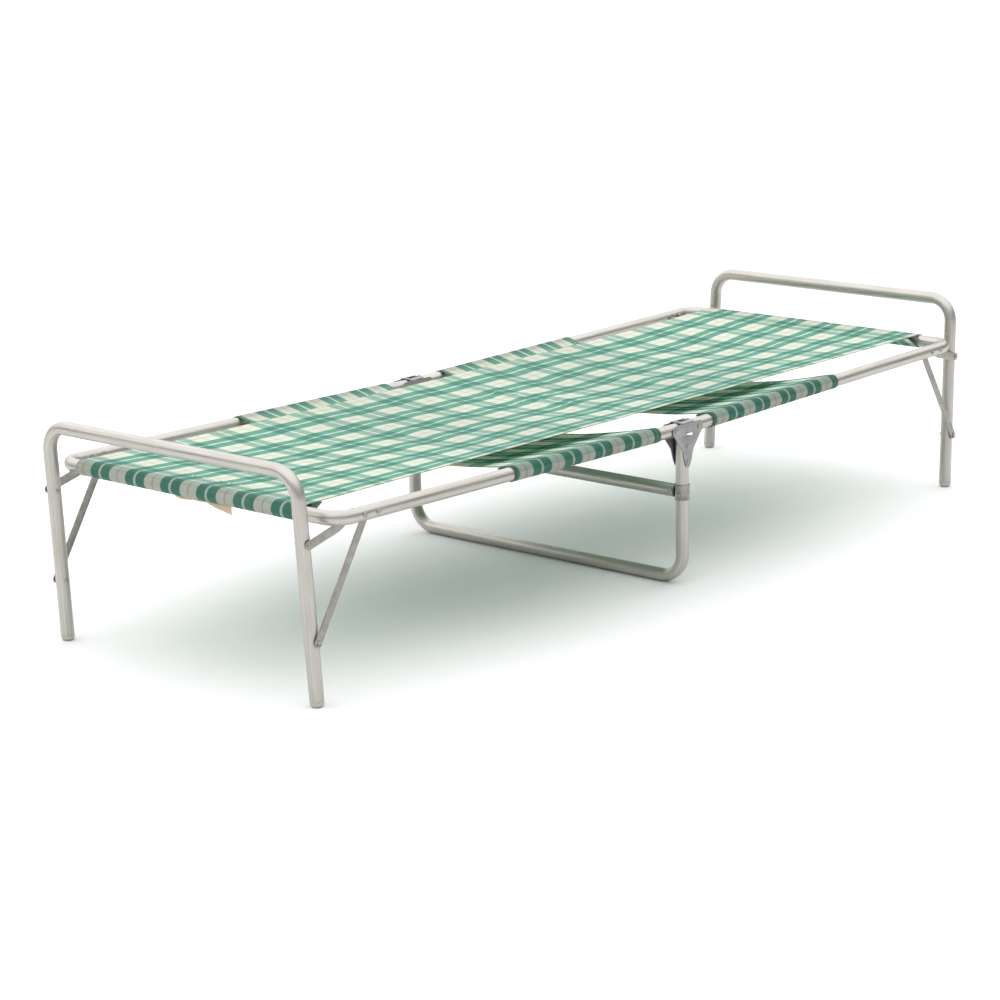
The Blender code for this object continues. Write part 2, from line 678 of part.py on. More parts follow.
def cross_panel(end_name, end):
    """A panel whose two sleeves go round the side rails and whose web hangs between them.

    The web leaves the top of each sleeve along its tangent.  Each sleeve runs on round the rail and
    comes back up, along a second tangent, to the seam on the web's underside.
    """
    inner = TUBE_RADIUS + 2 * GAP
    outer = inner + PANEL_THICKNESS
    length = PANEL_OUTER_X - PANEL_INNER_X
    middle_x = end * (PANEL_INNER_X + PANEL_OUTER_X) / 2
    slope = math.atan2(end * (RAIL_END_Z - RAIL_MIDDLE_Z), RAIL_END_X)
    lean = math.atan(2 * PANEL_SAG / RAIL_Y)
    top_y = RAIL_Y - outer * math.sin(lean)
    top_z = outer * math.cos(lean)
    seam_share = (RAIL_Y - PANEL_SEAM) / top_y
    seam_z = top_z - PANEL_THICKNESS - PANEL_SAG * (1 - seam_share * seam_share)
    seam_turn = math.atan2(seam_z, -PANEL_SEAM)
    leave_turn = seam_turn + math.acos(outer / math.hypot(seam_z, PANEL_SEAM)) - math.tau
    start_turn = math.radians(90) + lean
    steps = 16
    left_sleeve = []
    for step in range(steps + 1):
        turn = start_turn + (leave_turn - start_turn) * step / steps
        left_sleeve.append((RAIL_Y + outer * math.cos(turn), outer * math.sin(turn)))
    right_sleeve = [(-y, z) for y, z in reversed(left_sleeve)]
    web_top = [point for point in sagging_web(top_y, top_z, 0.0) if abs(point[0]) < top_y]
    web_low = [point for point in sagging_web(top_y, top_z, PANEL_THICKNESS)
               if abs(point[0]) < RAIL_Y - PANEL_SEAM]
    seam = [(RAIL_Y - PANEL_SEAM, seam_z)]
    far_seam = [(PANEL_SEAM - RAIL_Y, seam_z)]
    outline = left_sleeve + seam + web_low + far_seam + right_sleeve + web_top[::-1]
    bores = [circle(side * RAIL_Y, 0.0, inner, SLEEVE_SIDES) for side in (1, -1)]
    across = Matrix.Rotation(math.radians(90), 4, "Z") @ Matrix.Rotation(math.radians(90), 4, "X")
    tilt = Matrix.Rotation(-slope, 4, "Y")
    place = Matrix.Translation((middle_x, 0, rail_z(middle_x))) @ tilt @ across
    mesh = outline_mesh([outline] + bores, length, place)
    panel = add_part(end_name + "_cross_panel", mesh, CLOTH)
    boolean(panel, [scoop_mesh(middle_x + edge * length / 2) for edge in (-1, 1)], "DIFFERENCE")
    return panel


def scoop_mesh(x):
    """A lens-shaped cutter that draws in one edge of a cross panel between the rails."""
    steps = 24
    height = 0.140
    sleeve_clearance = 0.006
    reach = RAIL_Y - TUBE_RADIUS - sleeve_clearance
    outline = []
    for side in (-1, 1):
        for step in range(steps):
            share = side * (1 - 2 * step / steps)
            outline.append((x + side * PANEL_WAIST * (1 - share * share), share * reach))
    return outline_mesh([outline], height, Matrix.Translation((0, 0, RAIL_MIDDLE_Z)))


def sewn_label():
    """The torn tag that hangs under the sleeve at the foot end, longest near its right end."""
    top_z = RAIL_END_Z - TUBE_RADIUS - 3 * GAP - SLING_THICKNESS
    right, left = LABEL_Y
    tear = [(0.93, 0.25), (0.68, 0.19), (0.41, 0.31), (0.28, 0.69), (0.04, 1.0)]
    outline = [(right, top_z), (left, top_z)]
    outline += [(right + share * (left - right), top_z - drop * LABEL_DROP) for share, drop in tear]
    across = Matrix.Translation((-RAIL_END_X, 0, 0)) @ Matrix.Rotation(math.radians(90), 4, "Z")
    upright = across @ Matrix.Rotation(math.radians(90), 4, "X")
    return add_part("sewn_label", outline_mesh([outline], LABEL_THICKNESS, upright), LABEL)


# ---- Assembly -----------------------------------------------------------------------------------


def build_middle():
    """Everything that stands still: the middle leg, its crossbar and the hinge brackets."""
    middle_leg()
    crossbar()
    flap_y = TUBE_RADIUS + 3 * GAP + FLAP_THICKNESS
    rivet_x = TUBE_RADIUS + 3 * GAP + COLLAR_WALL
    for side_name, side in SIDES.items():
        hinge_bracket(side_name + "_hinge_bracket", side)
        collar(side_name + "_collar", side)
        for level, z in zip(("upper", "lower"), bracket_rivet_heights()):
            rivet(side_name + "_bracket_rivet_" + level, (0, side * RAIL_Y - flap_y, z),
                  (0, side * RAIL_Y + flap_y, z))
        for end_name, end in ENDS.items():
            x = end * HINGE_X
            rivet(end_name + "_" + side_name + "_hinge_rivet",
                  (x, side * RAIL_Y - flap_y, rail_z(x)), (x, side * RAIL_Y + flap_y, rail_z(x)))
        y, z = post_rivet_place(side)
        rivet(side_name + "_collar_rivet_post", (-rivet_x, y, z), (rivet_x, y, z))
        y, z = bar_rivet_place(side)
        reach = TUBE_RADIUS + GAP
        rivet(side_name + "_collar_rivet_bar", (-reach, y, z), (reach, y, z))


def build_end(end_name, end):
    """One half of the bed: its frame, its folding leg, its straps and its cloth."""
    fold = pivot(end_name + "_fold_axis", end * HINGE_X, rail_z(HINGE_X))
    link_top, link_low = link_places(end)
    brace_top, _ = brace_places(end)
    link_pivot = pivot(end_name + "_link_axis", link_top.x, link_top.y, fold)
    brace_pivot = pivot(end_name + "_brace_axis", brace_top.x, brace_top.y, fold)
    leg_pivot = pivot(end_name + "_leg_axis", link_low.x, link_low.y, link_pivot)
    riding = {fold: [half_frame(end_name, end), sling_half(end_name, end),
                     cross_panel(end_name, end)],
              link_pivot: [], brace_pivot: [], leg_pivot: [end_leg(end_name, end)]}
    if end_name == "foot":
        riding[fold].append(sewn_label())
    for side_name, side in SIDES.items():
        corner = end_name + "_" + side_name
        riding[fold].append(link_rail_rivet(corner + "_link_rail_rivet", link_top, side))
        riding[fold].append(brace_rail_rivet(corner + "_brace_rail_rivet", brace_top, side))
        riding[link_pivot].append(short_link(corner + "_short_link", end, side))
        riding[brace_pivot].append(brace(corner + "_brace", end, side))
        riding[brace_pivot].append(brace_leg_rivet(corner + "_brace_rivet", end, side, True))
        riding[leg_pivot].append(brace_leg_rivet(corner + "_post_rivet", end, side, False))
        riding[leg_pivot].append(link_leg_rivet(corner + "_link_leg_rivet", end, side))
        riding[leg_pivot].append(foot_plug(corner + "_foot_plug", end, side))
    for parent, children in riding.items():
        for child in children:
            attach(child, parent)


build_middle()
for name_of_end, sign_of_end in ENDS.items():
    build_end(name_of_end, sign_of_end)
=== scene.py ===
import json
import math

import bmesh
import bpy
from mathutils import Matrix, Vector, noise


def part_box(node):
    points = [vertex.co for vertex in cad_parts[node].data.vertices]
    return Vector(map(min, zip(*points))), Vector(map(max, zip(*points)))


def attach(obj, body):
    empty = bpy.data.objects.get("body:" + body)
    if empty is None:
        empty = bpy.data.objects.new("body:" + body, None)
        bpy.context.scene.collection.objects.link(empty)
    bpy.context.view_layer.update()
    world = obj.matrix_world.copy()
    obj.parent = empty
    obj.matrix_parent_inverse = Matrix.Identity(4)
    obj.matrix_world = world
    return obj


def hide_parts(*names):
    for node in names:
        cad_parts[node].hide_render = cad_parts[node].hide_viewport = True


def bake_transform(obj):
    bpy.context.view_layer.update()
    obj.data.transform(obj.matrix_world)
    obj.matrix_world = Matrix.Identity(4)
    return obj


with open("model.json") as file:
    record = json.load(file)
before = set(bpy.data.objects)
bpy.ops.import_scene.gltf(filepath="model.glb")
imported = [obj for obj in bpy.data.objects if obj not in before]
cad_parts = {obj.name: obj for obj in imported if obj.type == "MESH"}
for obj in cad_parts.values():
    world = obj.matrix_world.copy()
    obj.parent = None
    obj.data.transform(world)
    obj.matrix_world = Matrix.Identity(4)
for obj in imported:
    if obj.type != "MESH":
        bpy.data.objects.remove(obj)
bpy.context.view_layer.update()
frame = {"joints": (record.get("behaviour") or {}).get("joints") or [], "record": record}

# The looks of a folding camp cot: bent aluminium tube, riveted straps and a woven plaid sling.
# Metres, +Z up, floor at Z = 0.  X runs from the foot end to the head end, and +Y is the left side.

# ---- Dimensions ---------------------------------------------------------------------------------

TUBE_RADIUS = 0.0127
TUBE_WALL = 0.0013
TUBE_SIDES = 32
GAP = 0.0003
FRAME_BEND = 0.038              # centreline radii of the bends
LEG_BEND = 0.048
MIDDLE_BEND = 0.050
BEND_FLATTENING = 0.075         # a bent tube is this much thinner in the plane of the bend
BEND_SPREADING = 0.030          # and this much wider across it
LEG_LEAN = 0.055                # lean of an end leg outward, per metre of height
LEG_SPLAY = 0.016               # spread of its posts towards the floor, per metre of height

CLOTH = 0.0011                  # thickness of the woven cloth
SLEEVE_AIR = 0.0007             # between a tube and the cloth round it
BAND_Y = (-0.273, 0.294)        # right and left edges of the long band
BAND_HEM = 0.030                # the end sleeve is sewn this far inside the end tube
PANEL_SEAM = 0.030
PANEL_WAIST = 0.050             # the edges of a cross panel are drawn in by this much
PANEL_SAG = 0.041               # and its middle hangs this far below the rails

BAND_SAG = 0.023                # the long band hangs this far below its ends at the middle
BAND_SAG_LEFT = 0.39            # share of that sag at its left edge, which is the slacker one
WEFT_BOW = 3.0                  # the cross threads bow by this many times the sag lost
BOW_START_Y = -0.15             # from here to the right edge

EDGE_PULL = 0.0030              # the band's long edges are drawn in by this much at the middle
FOLD_REACH = (0.075, 0.006)     # distances from the hinge, made into two points that nothing uses
LONG_WAVE = 0.0038              # heights of the band's unevenness
SHORT_WAVE = 0.0014
RIB = 0.0005
CRINKLE = 0.0030                # and of the creases over the hinge

THREAD_PITCH = 0.0011           # the weave
GREEN_WIDTH = 0.050             # a green stripe, with a white line in it
WHITE_LINE = 0.0031             # half widths of the white line and of the brown one
BROWN_LINE = 0.0016
STITCH = 0.0042                 # length of a stitch and the gap after it
STITCH_LINE = 0.0006            # half width of a row of stitches
HEM_ROW = 0.010                 # a hem's row of stitches is this far inside its edge
BAND_WARP = (0.0924, 0.2040)    # pitch and start of the green stripes that run along the bed
BAND_WEFT = (0.1060, 0.0060)    # pitch and start of those that run across it
PANEL_WARP = (0.0866, 0.0135)   # the same on the cross panels, from the panel's centre line
PANEL_WEFT = (0.1060, 0.3219)

HEAD_RADIUS = 0.0048            # rivets
HEAD_HEIGHT = 0.0020
FLAT_HEAD_HEIGHT = 0.0009       # the brace's rail rivet is flat where the folding link passes it
CROWN_RADIUS = 0.0016           # the rim of the dimple in a head
DIMPLE = 0.0008
STEM_RADIUS = 0.0024
SPACER_RADIUS = 0.0050
STOP_RIVET_RISE = 0.011         # a stop rivet is this far above the end rail's axis
STOP_RIVET_PROUD = 0.0010

PLUG_DEPTH = 0.027              # how far up a foot plug reaches
STRAP_WIDTH = 0.016
ELBOW_ALONG = 0.040             # the short link's elbow, along it and off its line
ELBOW_INWARD = 0.0058

FLAP_THICKNESS = 0.0018         # the hinge bracket's sheet
BEND_ROOM = 0.0048              # height of the bend above a flap
TAB_REACH = 0.019               # half width of the tab at the top of a flap
SHOULDER = 0.0115               # radius of a flap round each pivot
SLOT_DROP = 0.0380              # the slot arches about a centre this far below the pivots
SLOT_RADIUS = 0.0290
SLOT_HALF_WIDTH = 0.0026
SLOT_REACH = math.radians(31)
SADDLE_REACH = 0.0188           # half width of the strip over the rail
WINDOW = (0.011, 0.006)         # half sizes of the window in it

FRAYED = 7                      # loose threads at each end of a panel's sleeve
FRAY_THICKNESS = 0.00032

TAG_THICKNESS = 0.0006
TAG_TEAR = 0.42                 # the tag is torn away from this share of its width on

# ---- Places, read from the frame ----------------------------------------------------------------

ENDS = {"foot": -1, "head": 1}
SIDES = {"right": -1, "left": 1}
JOINTS = {joint["name"]: Vector(joint["pos_m"]) for joint in frame["joints"]}

frame_low, frame_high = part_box("head_half_frame")
RAIL_Y = frame_high.y - TUBE_RADIUS
RAIL_END_X = frame_high.x - TUBE_RADIUS
RAIL_END_Z = frame_high.z - TUBE_RADIUS
RAIL_STUB_X = frame_low.x
HINGE_X = JOINTS["head_half_fold"].x
RAIL_SLOPE = (RAIL_END_Z - JOINTS["head_half_fold"].z) / (RAIL_END_X - HINGE_X)

leg_low, leg_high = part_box("head_end_leg")
LEG_TOP_Z = leg_high.z - TUBE_RADIUS
LINK_LEG = JOINTS["head_leg_swing"]
plug_low, plug_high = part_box("head_left_foot_plug")
PLUG = (plug_low + plug_high) / 2

middle_low, middle_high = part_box("middle_leg")
bar_low, bar_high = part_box("middle_crossbar")
panel_low, panel_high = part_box("head_cross_panel")
PANEL_X = (panel_low.x, panel_high.x)
PANEL_EDGE = (PANEL_X[1] - PANEL_X[0]) / 2


def rail_z(x):
    """Height of the rail axis at a distance from the middle hinge."""
    return RAIL_END_Z - RAIL_SLOPE * (RAIL_END_X - abs(x))


def held(value):
    """A value kept between 0 and 1."""
    return min(1.0, max(0.0, value))


def leg_point(end, side, z):
    """A point on an end leg's post axis, at a height."""
    x = PLUG.x + LEG_LEAN * (z - PLUG.z)
    y = PLUG.y - LEG_SPLAY * (z - PLUG.z)
    return Vector((end * x, side * y, z))


# ---- Node helpers -------------------------------------------------------------------------------


class Tree:
    """A material's node tree, with short calls for the nodes that the finishes use."""

    def __init__(self, name):
        self.material = bpy.data.materials.new(name)
        self.material.use_nodes = True
        self.nodes = self.material.node_tree.nodes
        self.links = self.material.node_tree.links
        self.shader = self.nodes["Principled BSDF"]

    def add(self, kind, **inputs):
        """A node, with its inputs set to values or linked to sockets."""
        node = self.nodes.new("ShaderNode" + kind)
        for key, value in inputs.items():
            self.feed(node.inputs[key.replace("_", " ")], value)
        return node

    def feed(self, socket, value):
        if isinstance(value, bpy.types.NodeSocket):
            self.links.new(value, socket)
        else:
            socket.default_value = value

    def math(self, operation, *values, clamp=False):
        node = self.nodes.new("ShaderNodeMath")
        node.operation = operation
        node.use_clamp = clamp
        for socket, value in zip(node.inputs, values):
            self.feed(socket, value)
        return node.outputs[0]

    def mix(self, share, first, second, blend="MIX"):
        """A colour between two colours, or a blend of them."""
        node = self.nodes.new("ShaderNodeMix")
        node.data_type = "RGBA"
        node.blend_type = blend
        self.feed(node.inputs[0], share)
        self.feed(node.inputs[6], first)
        self.feed(node.inputs[7], second)
        return node.outputs[2]

    def ranged(self, value, low, high, to_low, to_high):
        node = self.nodes.new("ShaderNodeMapRange")
        for key, amount in zip((0, 1, 2, 3, 4), (value, low, high, to_low, to_high)):
            self.feed(node.inputs[key], amount)
        return node.outputs[0]

    def line(self, distance, middle, inner, outer):
        """One within the inner distance of a line, fading to nothing at the outer distance."""
        off = self.math("ABSOLUTE", self.math("SUBTRACT", distance, middle))
        return self.ranged(off, inner, outer, 1.0, 0.0)

    def attribute(self, name, output):
        node = self.nodes.new("ShaderNodeAttribute")
        node.attribute_name = name
        return node.outputs[output]

    def own_place(self):
        return self.nodes.new("ShaderNodeTexCoord").outputs["Object"]

    def scaled(self, vector, scale):
        node = self.nodes.new("ShaderNodeMapping")
        self.links.new(vector, node.inputs["Vector"])
        node.inputs["Scale"].default_value = scale
        return node.outputs[0]

    def noise(self, vector, scale, detail=4.0):
        """Noise whose scale is a number of cycles per metre, or one such number along each axis."""
        along = scale if isinstance(scale, tuple) else (scale, scale, scale)
        node = self.add("TexNoise", Scale=1.0, Detail=detail)
        self.links.new(self.scaled(vector, along), node.inputs["Vector"])
        return node.outputs[0]

    def bump(self, height, distance, strength=1.0):
        node = self.add("Bump", Strength=strength, Distance=distance)
        self.links.new(height, node.inputs["Height"])
        self.links.new(node.outputs[0], self.shader.inputs["Normal"])

    def set(self, **inputs):
        for key, value in inputs.items():
            self.feed(self.shader.inputs[key.replace("_", " ")], value)


def colour(red, green, blue):
    """A colour from display values of 0 to 255, as the linear numbers that a socket holds."""
    def linear(value):
        share = value / 255
        return share / 12.92 if share <= 0.04045 else ((share + 0.055) / 1.055) ** 2.4
    return (linear(red), linear(green), linear(blue), 1.0)


# ---- Materials ----------------------------------------------------------------------------------


def aluminium():
    """Drawn tube: streaks along its length, dull patches, a few stains and rub marks."""
    tree = Tree("satin_tube")
    place = tree.attribute("tube_place", "Vector")
    streaks = tree.noise(place, (1500, 1500, 9), 5)
    broad = tree.noise(place, (260, 260, 3), 3)
    patches = tree.noise(place, (55, 55, 14), 4)
    specks = tree.noise(place, (900, 900, 500), 2)
    base = tree.mix(tree.ranged(streaks, 0.35, 0.65, 0, 1), colour(178, 175, 169), colour(205, 203, 198))
    base = tree.mix(tree.ranged(broad, 0.40, 0.72, 0, 0.55), base, colour(170, 164, 154))
    base = tree.mix(tree.ranged(patches, 0.60, 0.78, 0, 0.45), base, colour(196, 184, 150))
    base = tree.mix(tree.ranged(specks, 0.70, 0.76, 0, 0.5), base, colour(120, 112, 100))
    rough = tree.math("ADD", tree.ranged(streaks, 0.3, 0.7, 0.0, 0.10),
                      tree.ranged(patches, 0.35, 0.75, 0.32, 0.46))
    tree.set(Base_Color=base, Roughness=rough, Metallic=1.0)
    tree.bump(streaks, 0.00006, 0.5)
    return tree.material


def plated_steel(name, light, dark, scale):
    """Dulled zinc plate on flat steel, with scratches and patches of brown grime."""
    tree = Tree(name)
    place = tree.own_place()
    cloudy = tree.noise(place, scale, 5)
    grime = tree.noise(place, scale * 3, 4)
    scratches = tree.noise(place, (scale * 18, scale * 18, scale * 2), 3)
    base = tree.mix(tree.ranged(cloudy, 0.35, 0.65, 0, 1), light, dark)
    base = tree.mix(tree.ranged(grime, 0.60, 0.78, 0, 0.35), base, colour(116, 104, 86))
    tree.set(Base_Color=base, Metallic=1.0,
             Roughness=tree.ranged(scratches, 0.3, 0.7, 0.30, 0.50))
    tree.bump(scratches, 0.00008, 0.5)
    return tree.material


def foot_plastic():
    """Grey moulded plastic, scuffed and darker where it meets the floor."""
    tree = Tree("foot_plastic")
    place = tree.own_place()
    scuffs = tree.noise(place, 700, 5)
    height = tree.nodes.new("ShaderNodeSeparateXYZ")
    tree.links.new(place, height.inputs[0])
    base = tree.mix(tree.ranged(scuffs, 0.4, 0.65, 0, 1), colour(198, 195, 188), colour(176, 172, 163))
    base = tree.mix(tree.ranged(height.outputs[2], 0.0, 0.003, 0.6, 0.0), base, colour(120, 114, 104))
    tree.set(Base_Color=base, Roughness=tree.ranged(scuffs, 0.3, 0.7, 0.42, 0.62))
    tree.bump(scuffs, 0.0002, 0.5)
    return tree.material


def stripes(tree, distance, layout, deep, cream):
    """The shade of one set of threads at a distance across them.

    Each repeat is green with a white line in it, then a cream ground with a fine brown line.
    """
    pitch, start = layout
    turn = tree.math("FRACT", tree.math("DIVIDE", tree.math("SUBTRACT", distance, start), pitch))
    place = tree.math("MULTIPLY", turn, pitch)

    def within(centre, half_width, softness):
        return tree.line(place, centre, half_width - softness, half_width + softness)

    shade = tree.mix(within(GREEN_WIDTH / 2, GREEN_WIDTH / 2, 0.0007), cream, deep)
    shade = tree.mix(within(GREEN_WIDTH / 2 + 0.0007, WHITE_LINE, 0.0006), shade, root(228, 244, 230))
    brown = within((GREEN_WIDTH + pitch) / 2, BROWN_LINE, 0.0010)
    return tree.mix(tree.math("MULTIPLY", brown, 0.60), shade, root(176, 168, 136))


def root(red, green, blue):
    """A thread's shade as a factor: two crossing threads multiply to the cloth's colour."""
    return tuple(math.sqrt(value) for value in colour(red, green, blue)[:3]) + (1.0,)


def plaid(name, warp_layout, weft_layout, warp_on_sleeve, edges, seam, see_through):
    """Plaid cloth in a plain weave, slubbed, faded and a little see-through, with its sewing.

    Where it lies on a tube it is darker, a painted shade for the tube behind the see-through cloth, and
    the threads that go round the tube cover the others.
    The edges are the two cut sides, which are hemmed, and the seam closes each sleeve.
    """
    tree = Tree(name)
    place = tree.nodes.new("ShaderNodeUVMap")
    place.uv_map = "cloth"
    split = tree.nodes.new("ShaderNodeSeparateXYZ")
    tree.links.new(place.outputs[0], split.inputs[0])
    across, along = split.outputs[0], split.outputs[1]
    backing = tree.attribute("backing", "Fac")

    cream = root(242, 245, 232)
    warp_green = tuple(tone * share for tone, share in zip(cream, (0.19, 0.55, 0.48, 1.0)))
    weft_green = tuple(tone * share for tone, share in zip(cream, (0.44, 0.69, 0.64, 1.0)))
    warp = stripes(tree, across, warp_layout, warp_green, cream)
    weft = stripes(tree, along, weft_layout, weft_green, cream)

    woven = tree.mix(1.0, warp, weft, "MULTIPLY")
    covered = tree.mix(1.0, warp, warp, "MULTIPLY")
    base = tree.mix(tree.math("MULTIPLY", backing, warp_on_sleeve), woven, covered)
    thread = math.tau / THREAD_PITCH
    over = tree.math("MULTIPLY", tree.math("SINE", tree.math("MULTIPLY", across, thread)),
                     tree.math("SINE", tree.math("MULTIPLY", along, thread)))
    slub_along = tree.noise(place.outputs[0], (1300, 30, 1), 3)
    slub_across = tree.noise(place.outputs[0], (30, 1300, 1), 3)
    slubs = tree.math("ADD", tree.ranged(slub_along, 0.3, 0.7, -0.10, 0.10),
                      tree.ranged(slub_across, 0.3, 0.7, -0.08, 0.08))
    shade = tree.math("ADD", tree.math("ADD", slubs, tree.math("MULTIPLY", over, 0.05)), 0.94)
    # painted shade: cloth on a tube is darkened to 0.74, standing in for the tube behind the see-through
    # weave
    shade = tree.math("MULTIPLY", shade, tree.ranged(backing, 0.0, 1.0, 1.0, 0.74))
    grey = tree.nodes.new("ShaderNodeCombineColor")
    for socket in grey.inputs:
        tree.links.new(shade, socket)
    base = tree.mix(1.0, base, grey.outputs[0], "MULTIPLY")
    faded = tree.noise(place.outputs[0], 9, 4)
    base = tree.mix(tree.ranged(faded, 0.55, 0.80, 0.0, 0.10), base, colour(206, 200, 172))

    def near(distance, middle, half_width):
        return tree.line(distance, middle, half_width * 0.6, half_width)

    def dashes(distance):
        return tree.line(tree.math("FRACT", tree.math("DIVIDE", distance, STITCH)), 0.5, 0.30, 0.36)

    hem = tree.math("ADD", near(across, edges[0] + HEM_ROW, STITCH_LINE),
                    near(across, edges[1] - HEM_ROW, STITCH_LINE))
    closing = near(tree.math("ABSOLUTE", along), seam, STITCH_LINE)
    sewn = tree.math("ADD", tree.math("MULTIPLY", hem, dashes(along)),
                     tree.math("MULTIPLY", closing, dashes(across)), clamp=True)
    base = tree.mix(tree.math("MULTIPLY", sewn, 0.75), base, colour(222, 216, 186))
    rim = tree.math("ADD", near(across, edges[0], 0.0022), near(across, edges[1], 0.0022), clamp=True)
    base = tree.mix(tree.math("MULTIPLY", rim, 0.55), base, colour(132, 122, 84))
    tree.set(Base_Color=base, Roughness=tree.ranged(slub_along, 0.3, 0.7, 0.55, 0.75))
    tree.shader.inputs["Sheen Weight"].default_value = 0.10
    tree.shader.inputs["Sheen Roughness"].default_value = 0.5
    tree.bump(tree.math("ADD", over, tree.math("MULTIPLY", sewn, 3.0)), 0.00022, 0.5)
    glow = tree.add("BsdfTranslucent")
    tree.links.new(base, glow.inputs["Color"])
    both = tree.add("MixShader", Fac=see_through)
    tree.links.new(tree.shader.outputs[0], both.inputs[1])
    tree.links.new(glow.outputs[0], both.inputs[2])
    tree.links.new(both.outputs[0], tree.nodes["Material Output"].inputs["Surface"])
    return tree.material


def thread_material(name, shade):
    """Sewing thread or a plain tape: one shade, twisted and a little uneven."""
    tree = Tree(name)
    place = tree.own_place()
    twist = tree.noise(place, 1600, 3)
    darker = tuple(value * 0.62 for value in shade[:3]) + (1.0,)
    tree.set(Base_Color=tree.mix(tree.ranged(twist, 0.3, 0.7, 0, 1), darker, shade), Roughness=0.8)
    tree.bump(twist, 0.0002, 0.6)
    return tree.material


ALUMINIUM = aluminium()
STEEL = plated_steel("zinc_steel", colour(164, 162, 155), colour(148, 146, 139), 60)
BRACKET = plated_steel("bracket_steel", colour(158, 159, 159), colour(142, 143, 143), 45)
RIVET = plated_steel("rivet_metal", colour(190, 186, 176), colour(150, 144, 132), 400)
PLASTIC = foot_plastic()
BAND_CLOTH = plaid("band_cloth", BAND_WARP, BAND_WEFT, 0.65, BAND_Y,
                   RAIL_END_X - TUBE_RADIUS - BAND_HEM, 0.40)
PANEL_CLOTH = plaid("panel_cloth", PANEL_WARP, PANEL_WEFT, 0.45, (-PANEL_EDGE, PANEL_EDGE),
                    RAIL_Y - PANEL_SEAM, 0.50)
FRAY = thread_material("frayed_thread", colour(150, 160, 134))
TAG = thread_material("tag_cloth", colour(226, 204, 168))

# ---- Mesh helpers -------------------------------------------------------------------------------


def new_piece(name, mesh, surface, smooth_angle=40):
    """A shown object from a mesh, smooth except at its real edges."""
    mesh.materials.append(surface)
    mesh.shade_smooth()
    mesh.set_sharp_from_angle(angle=math.radians(smooth_angle))
    made = bpy.data.objects.new(name, mesh)
    bpy.context.scene.collection.objects.link(made)
    return made


def settle(piece, body, slot, *nodes):
    """Puts a finished piece on its body and hides the CAD nodes it stands for; the slot is not used."""
    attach(piece, body)
    if nodes:
        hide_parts(*nodes)
    return piece


def mesh_from(name, work):
    """A mesh from bmesh work, with its faces turned outward."""
    bmesh.ops.recalc_face_normals(work, faces=work.faces)
    mesh = bpy.data.meshes.new(name)
    work.to_mesh(mesh)
    work.free()
    return mesh


def bridge(work, first, second):
    """The faces between two rings of equal count."""
    for step in range(len(first)):
        ahead = (step + 1) % len(first)
        work.faces.new((first[step], first[ahead], second[ahead], second[step]))


def arc(x, z, radius, start, sweep, steps):
    """Points on an arc about a centre, from a starting angle through a sweep."""
    turns = [start + sweep * step / steps for step in range(steps + 1)]
    return [(x + radius * math.cos(turn), z + radius * math.sin(turn)) for turn in turns]


def evaluated(holder, *helpers):
    """The mesh of an object with its modifiers applied; it and its helpers are then removed."""
    for item in (holder, *helpers):
        bpy.context.scene.collection.objects.link(item)
    bpy.context.view_layer.update()
    graph = bpy.context.evaluated_depsgraph_get()
    mesh = bpy.data.meshes.new_from_object(holder.evaluated_get(graph))
    for item in (holder, *helpers):
        bpy.data.objects.remove(item)
    return mesh


def bent_path(corners, radius, straight_step=0.02, bend_steps=18):
    """Points along a bent tube, and how far into a bend each one is, with the way to its centre."""
    points, bends, inward = [], [], []

    def run(start, finish):
        count = max(2, round((finish - start).length / straight_step))
        for step in range(count):
            points.append(start.lerp(finish, step / count))
            bends.append(0.0)
            inward.append(None)

    last = corners[0]
    for before, corner, after in zip(corners, corners[1:], corners[2:]):
        back = (before - corner).normalized()
        ahead = (after - corner).normalized()
        half_angle = back.angle(ahead) / 2
        centre = corner + (back + ahead).normalized() * radius / math.sin(half_angle)
        start = corner + back * radius / math.tan(half_angle) - centre
        finish = corner + ahead * radius / math.tan(half_angle) - centre
        run(last, centre + start)
        for step in range(bend_steps):
            spoke = start.slerp(finish, step / bend_steps)
            points.append(centre + spoke * radius)
            bends.append(math.sin(math.pi * step / bend_steps) ** 0.6 if step else 0.0)
            inward.append(-spoke.normalized())
        last = centre + finish
    run(last, corners[-1])
    points.append(corners[-1])
    bends.append(0.0)
    inward.append(None)
    return points, bends, inward


def tube_mesh(name, corners, radius):
    """A hollow tube with open ends, whose bends are flattened as a bending die leaves them."""
    points, bends, inward = bent_path(corners, radius)
    work = bmesh.new()
    layer = work.verts.layers.float_vector.new("tube_place")
    count = len(points)
    tangents = [(points[min(k + 1, count - 1)] - points[max(k - 1, 0)]).normalized()
                for k in range(count)]
    side = tangents[0].orthogonal().normalized()
    travelled = 0.0
    rings = {"outer": [], "inner": []}
    for k in range(count):
        side = (side - tangents[k] * side.dot(tangents[k])).normalized()
        other = tangents[k].cross(side)
        if k:
            travelled += (points[k] - points[k - 1]).length
        for skin, reach in (("outer", TUBE_RADIUS), ("inner", TUBE_RADIUS - TUBE_WALL)):
            ring = []
            for step in range(TUBE_SIDES):
                turn = math.tau * step / TUBE_SIDES
                spoke = side * math.cos(turn) + other * math.sin(turn)
                offset = spoke * reach
                if bends[k]:
                    facing = spoke.dot(inward[k])
                    offset -= inward[k] * facing * reach * BEND_FLATTENING * bends[k]
                    across = tangents[k].cross(inward[k])
                    offset += across * spoke.dot(across) * reach * BEND_SPREADING * bends[k]
                vertex = work.verts.new(points[k] + offset)
                vertex[layer] = (TUBE_RADIUS * math.cos(turn), TUBE_RADIUS * math.sin(turn), travelled)
                ring.append(vertex)
            rings[skin].append(ring)
    for skin in rings.values():
        for first, second in zip(skin, skin[1:]):
            bridge(work, first, second)
    for place in (0, -1):
        bridge(work, rings["outer"][place], rings["inner"][place])
    return mesh_from(name, work)


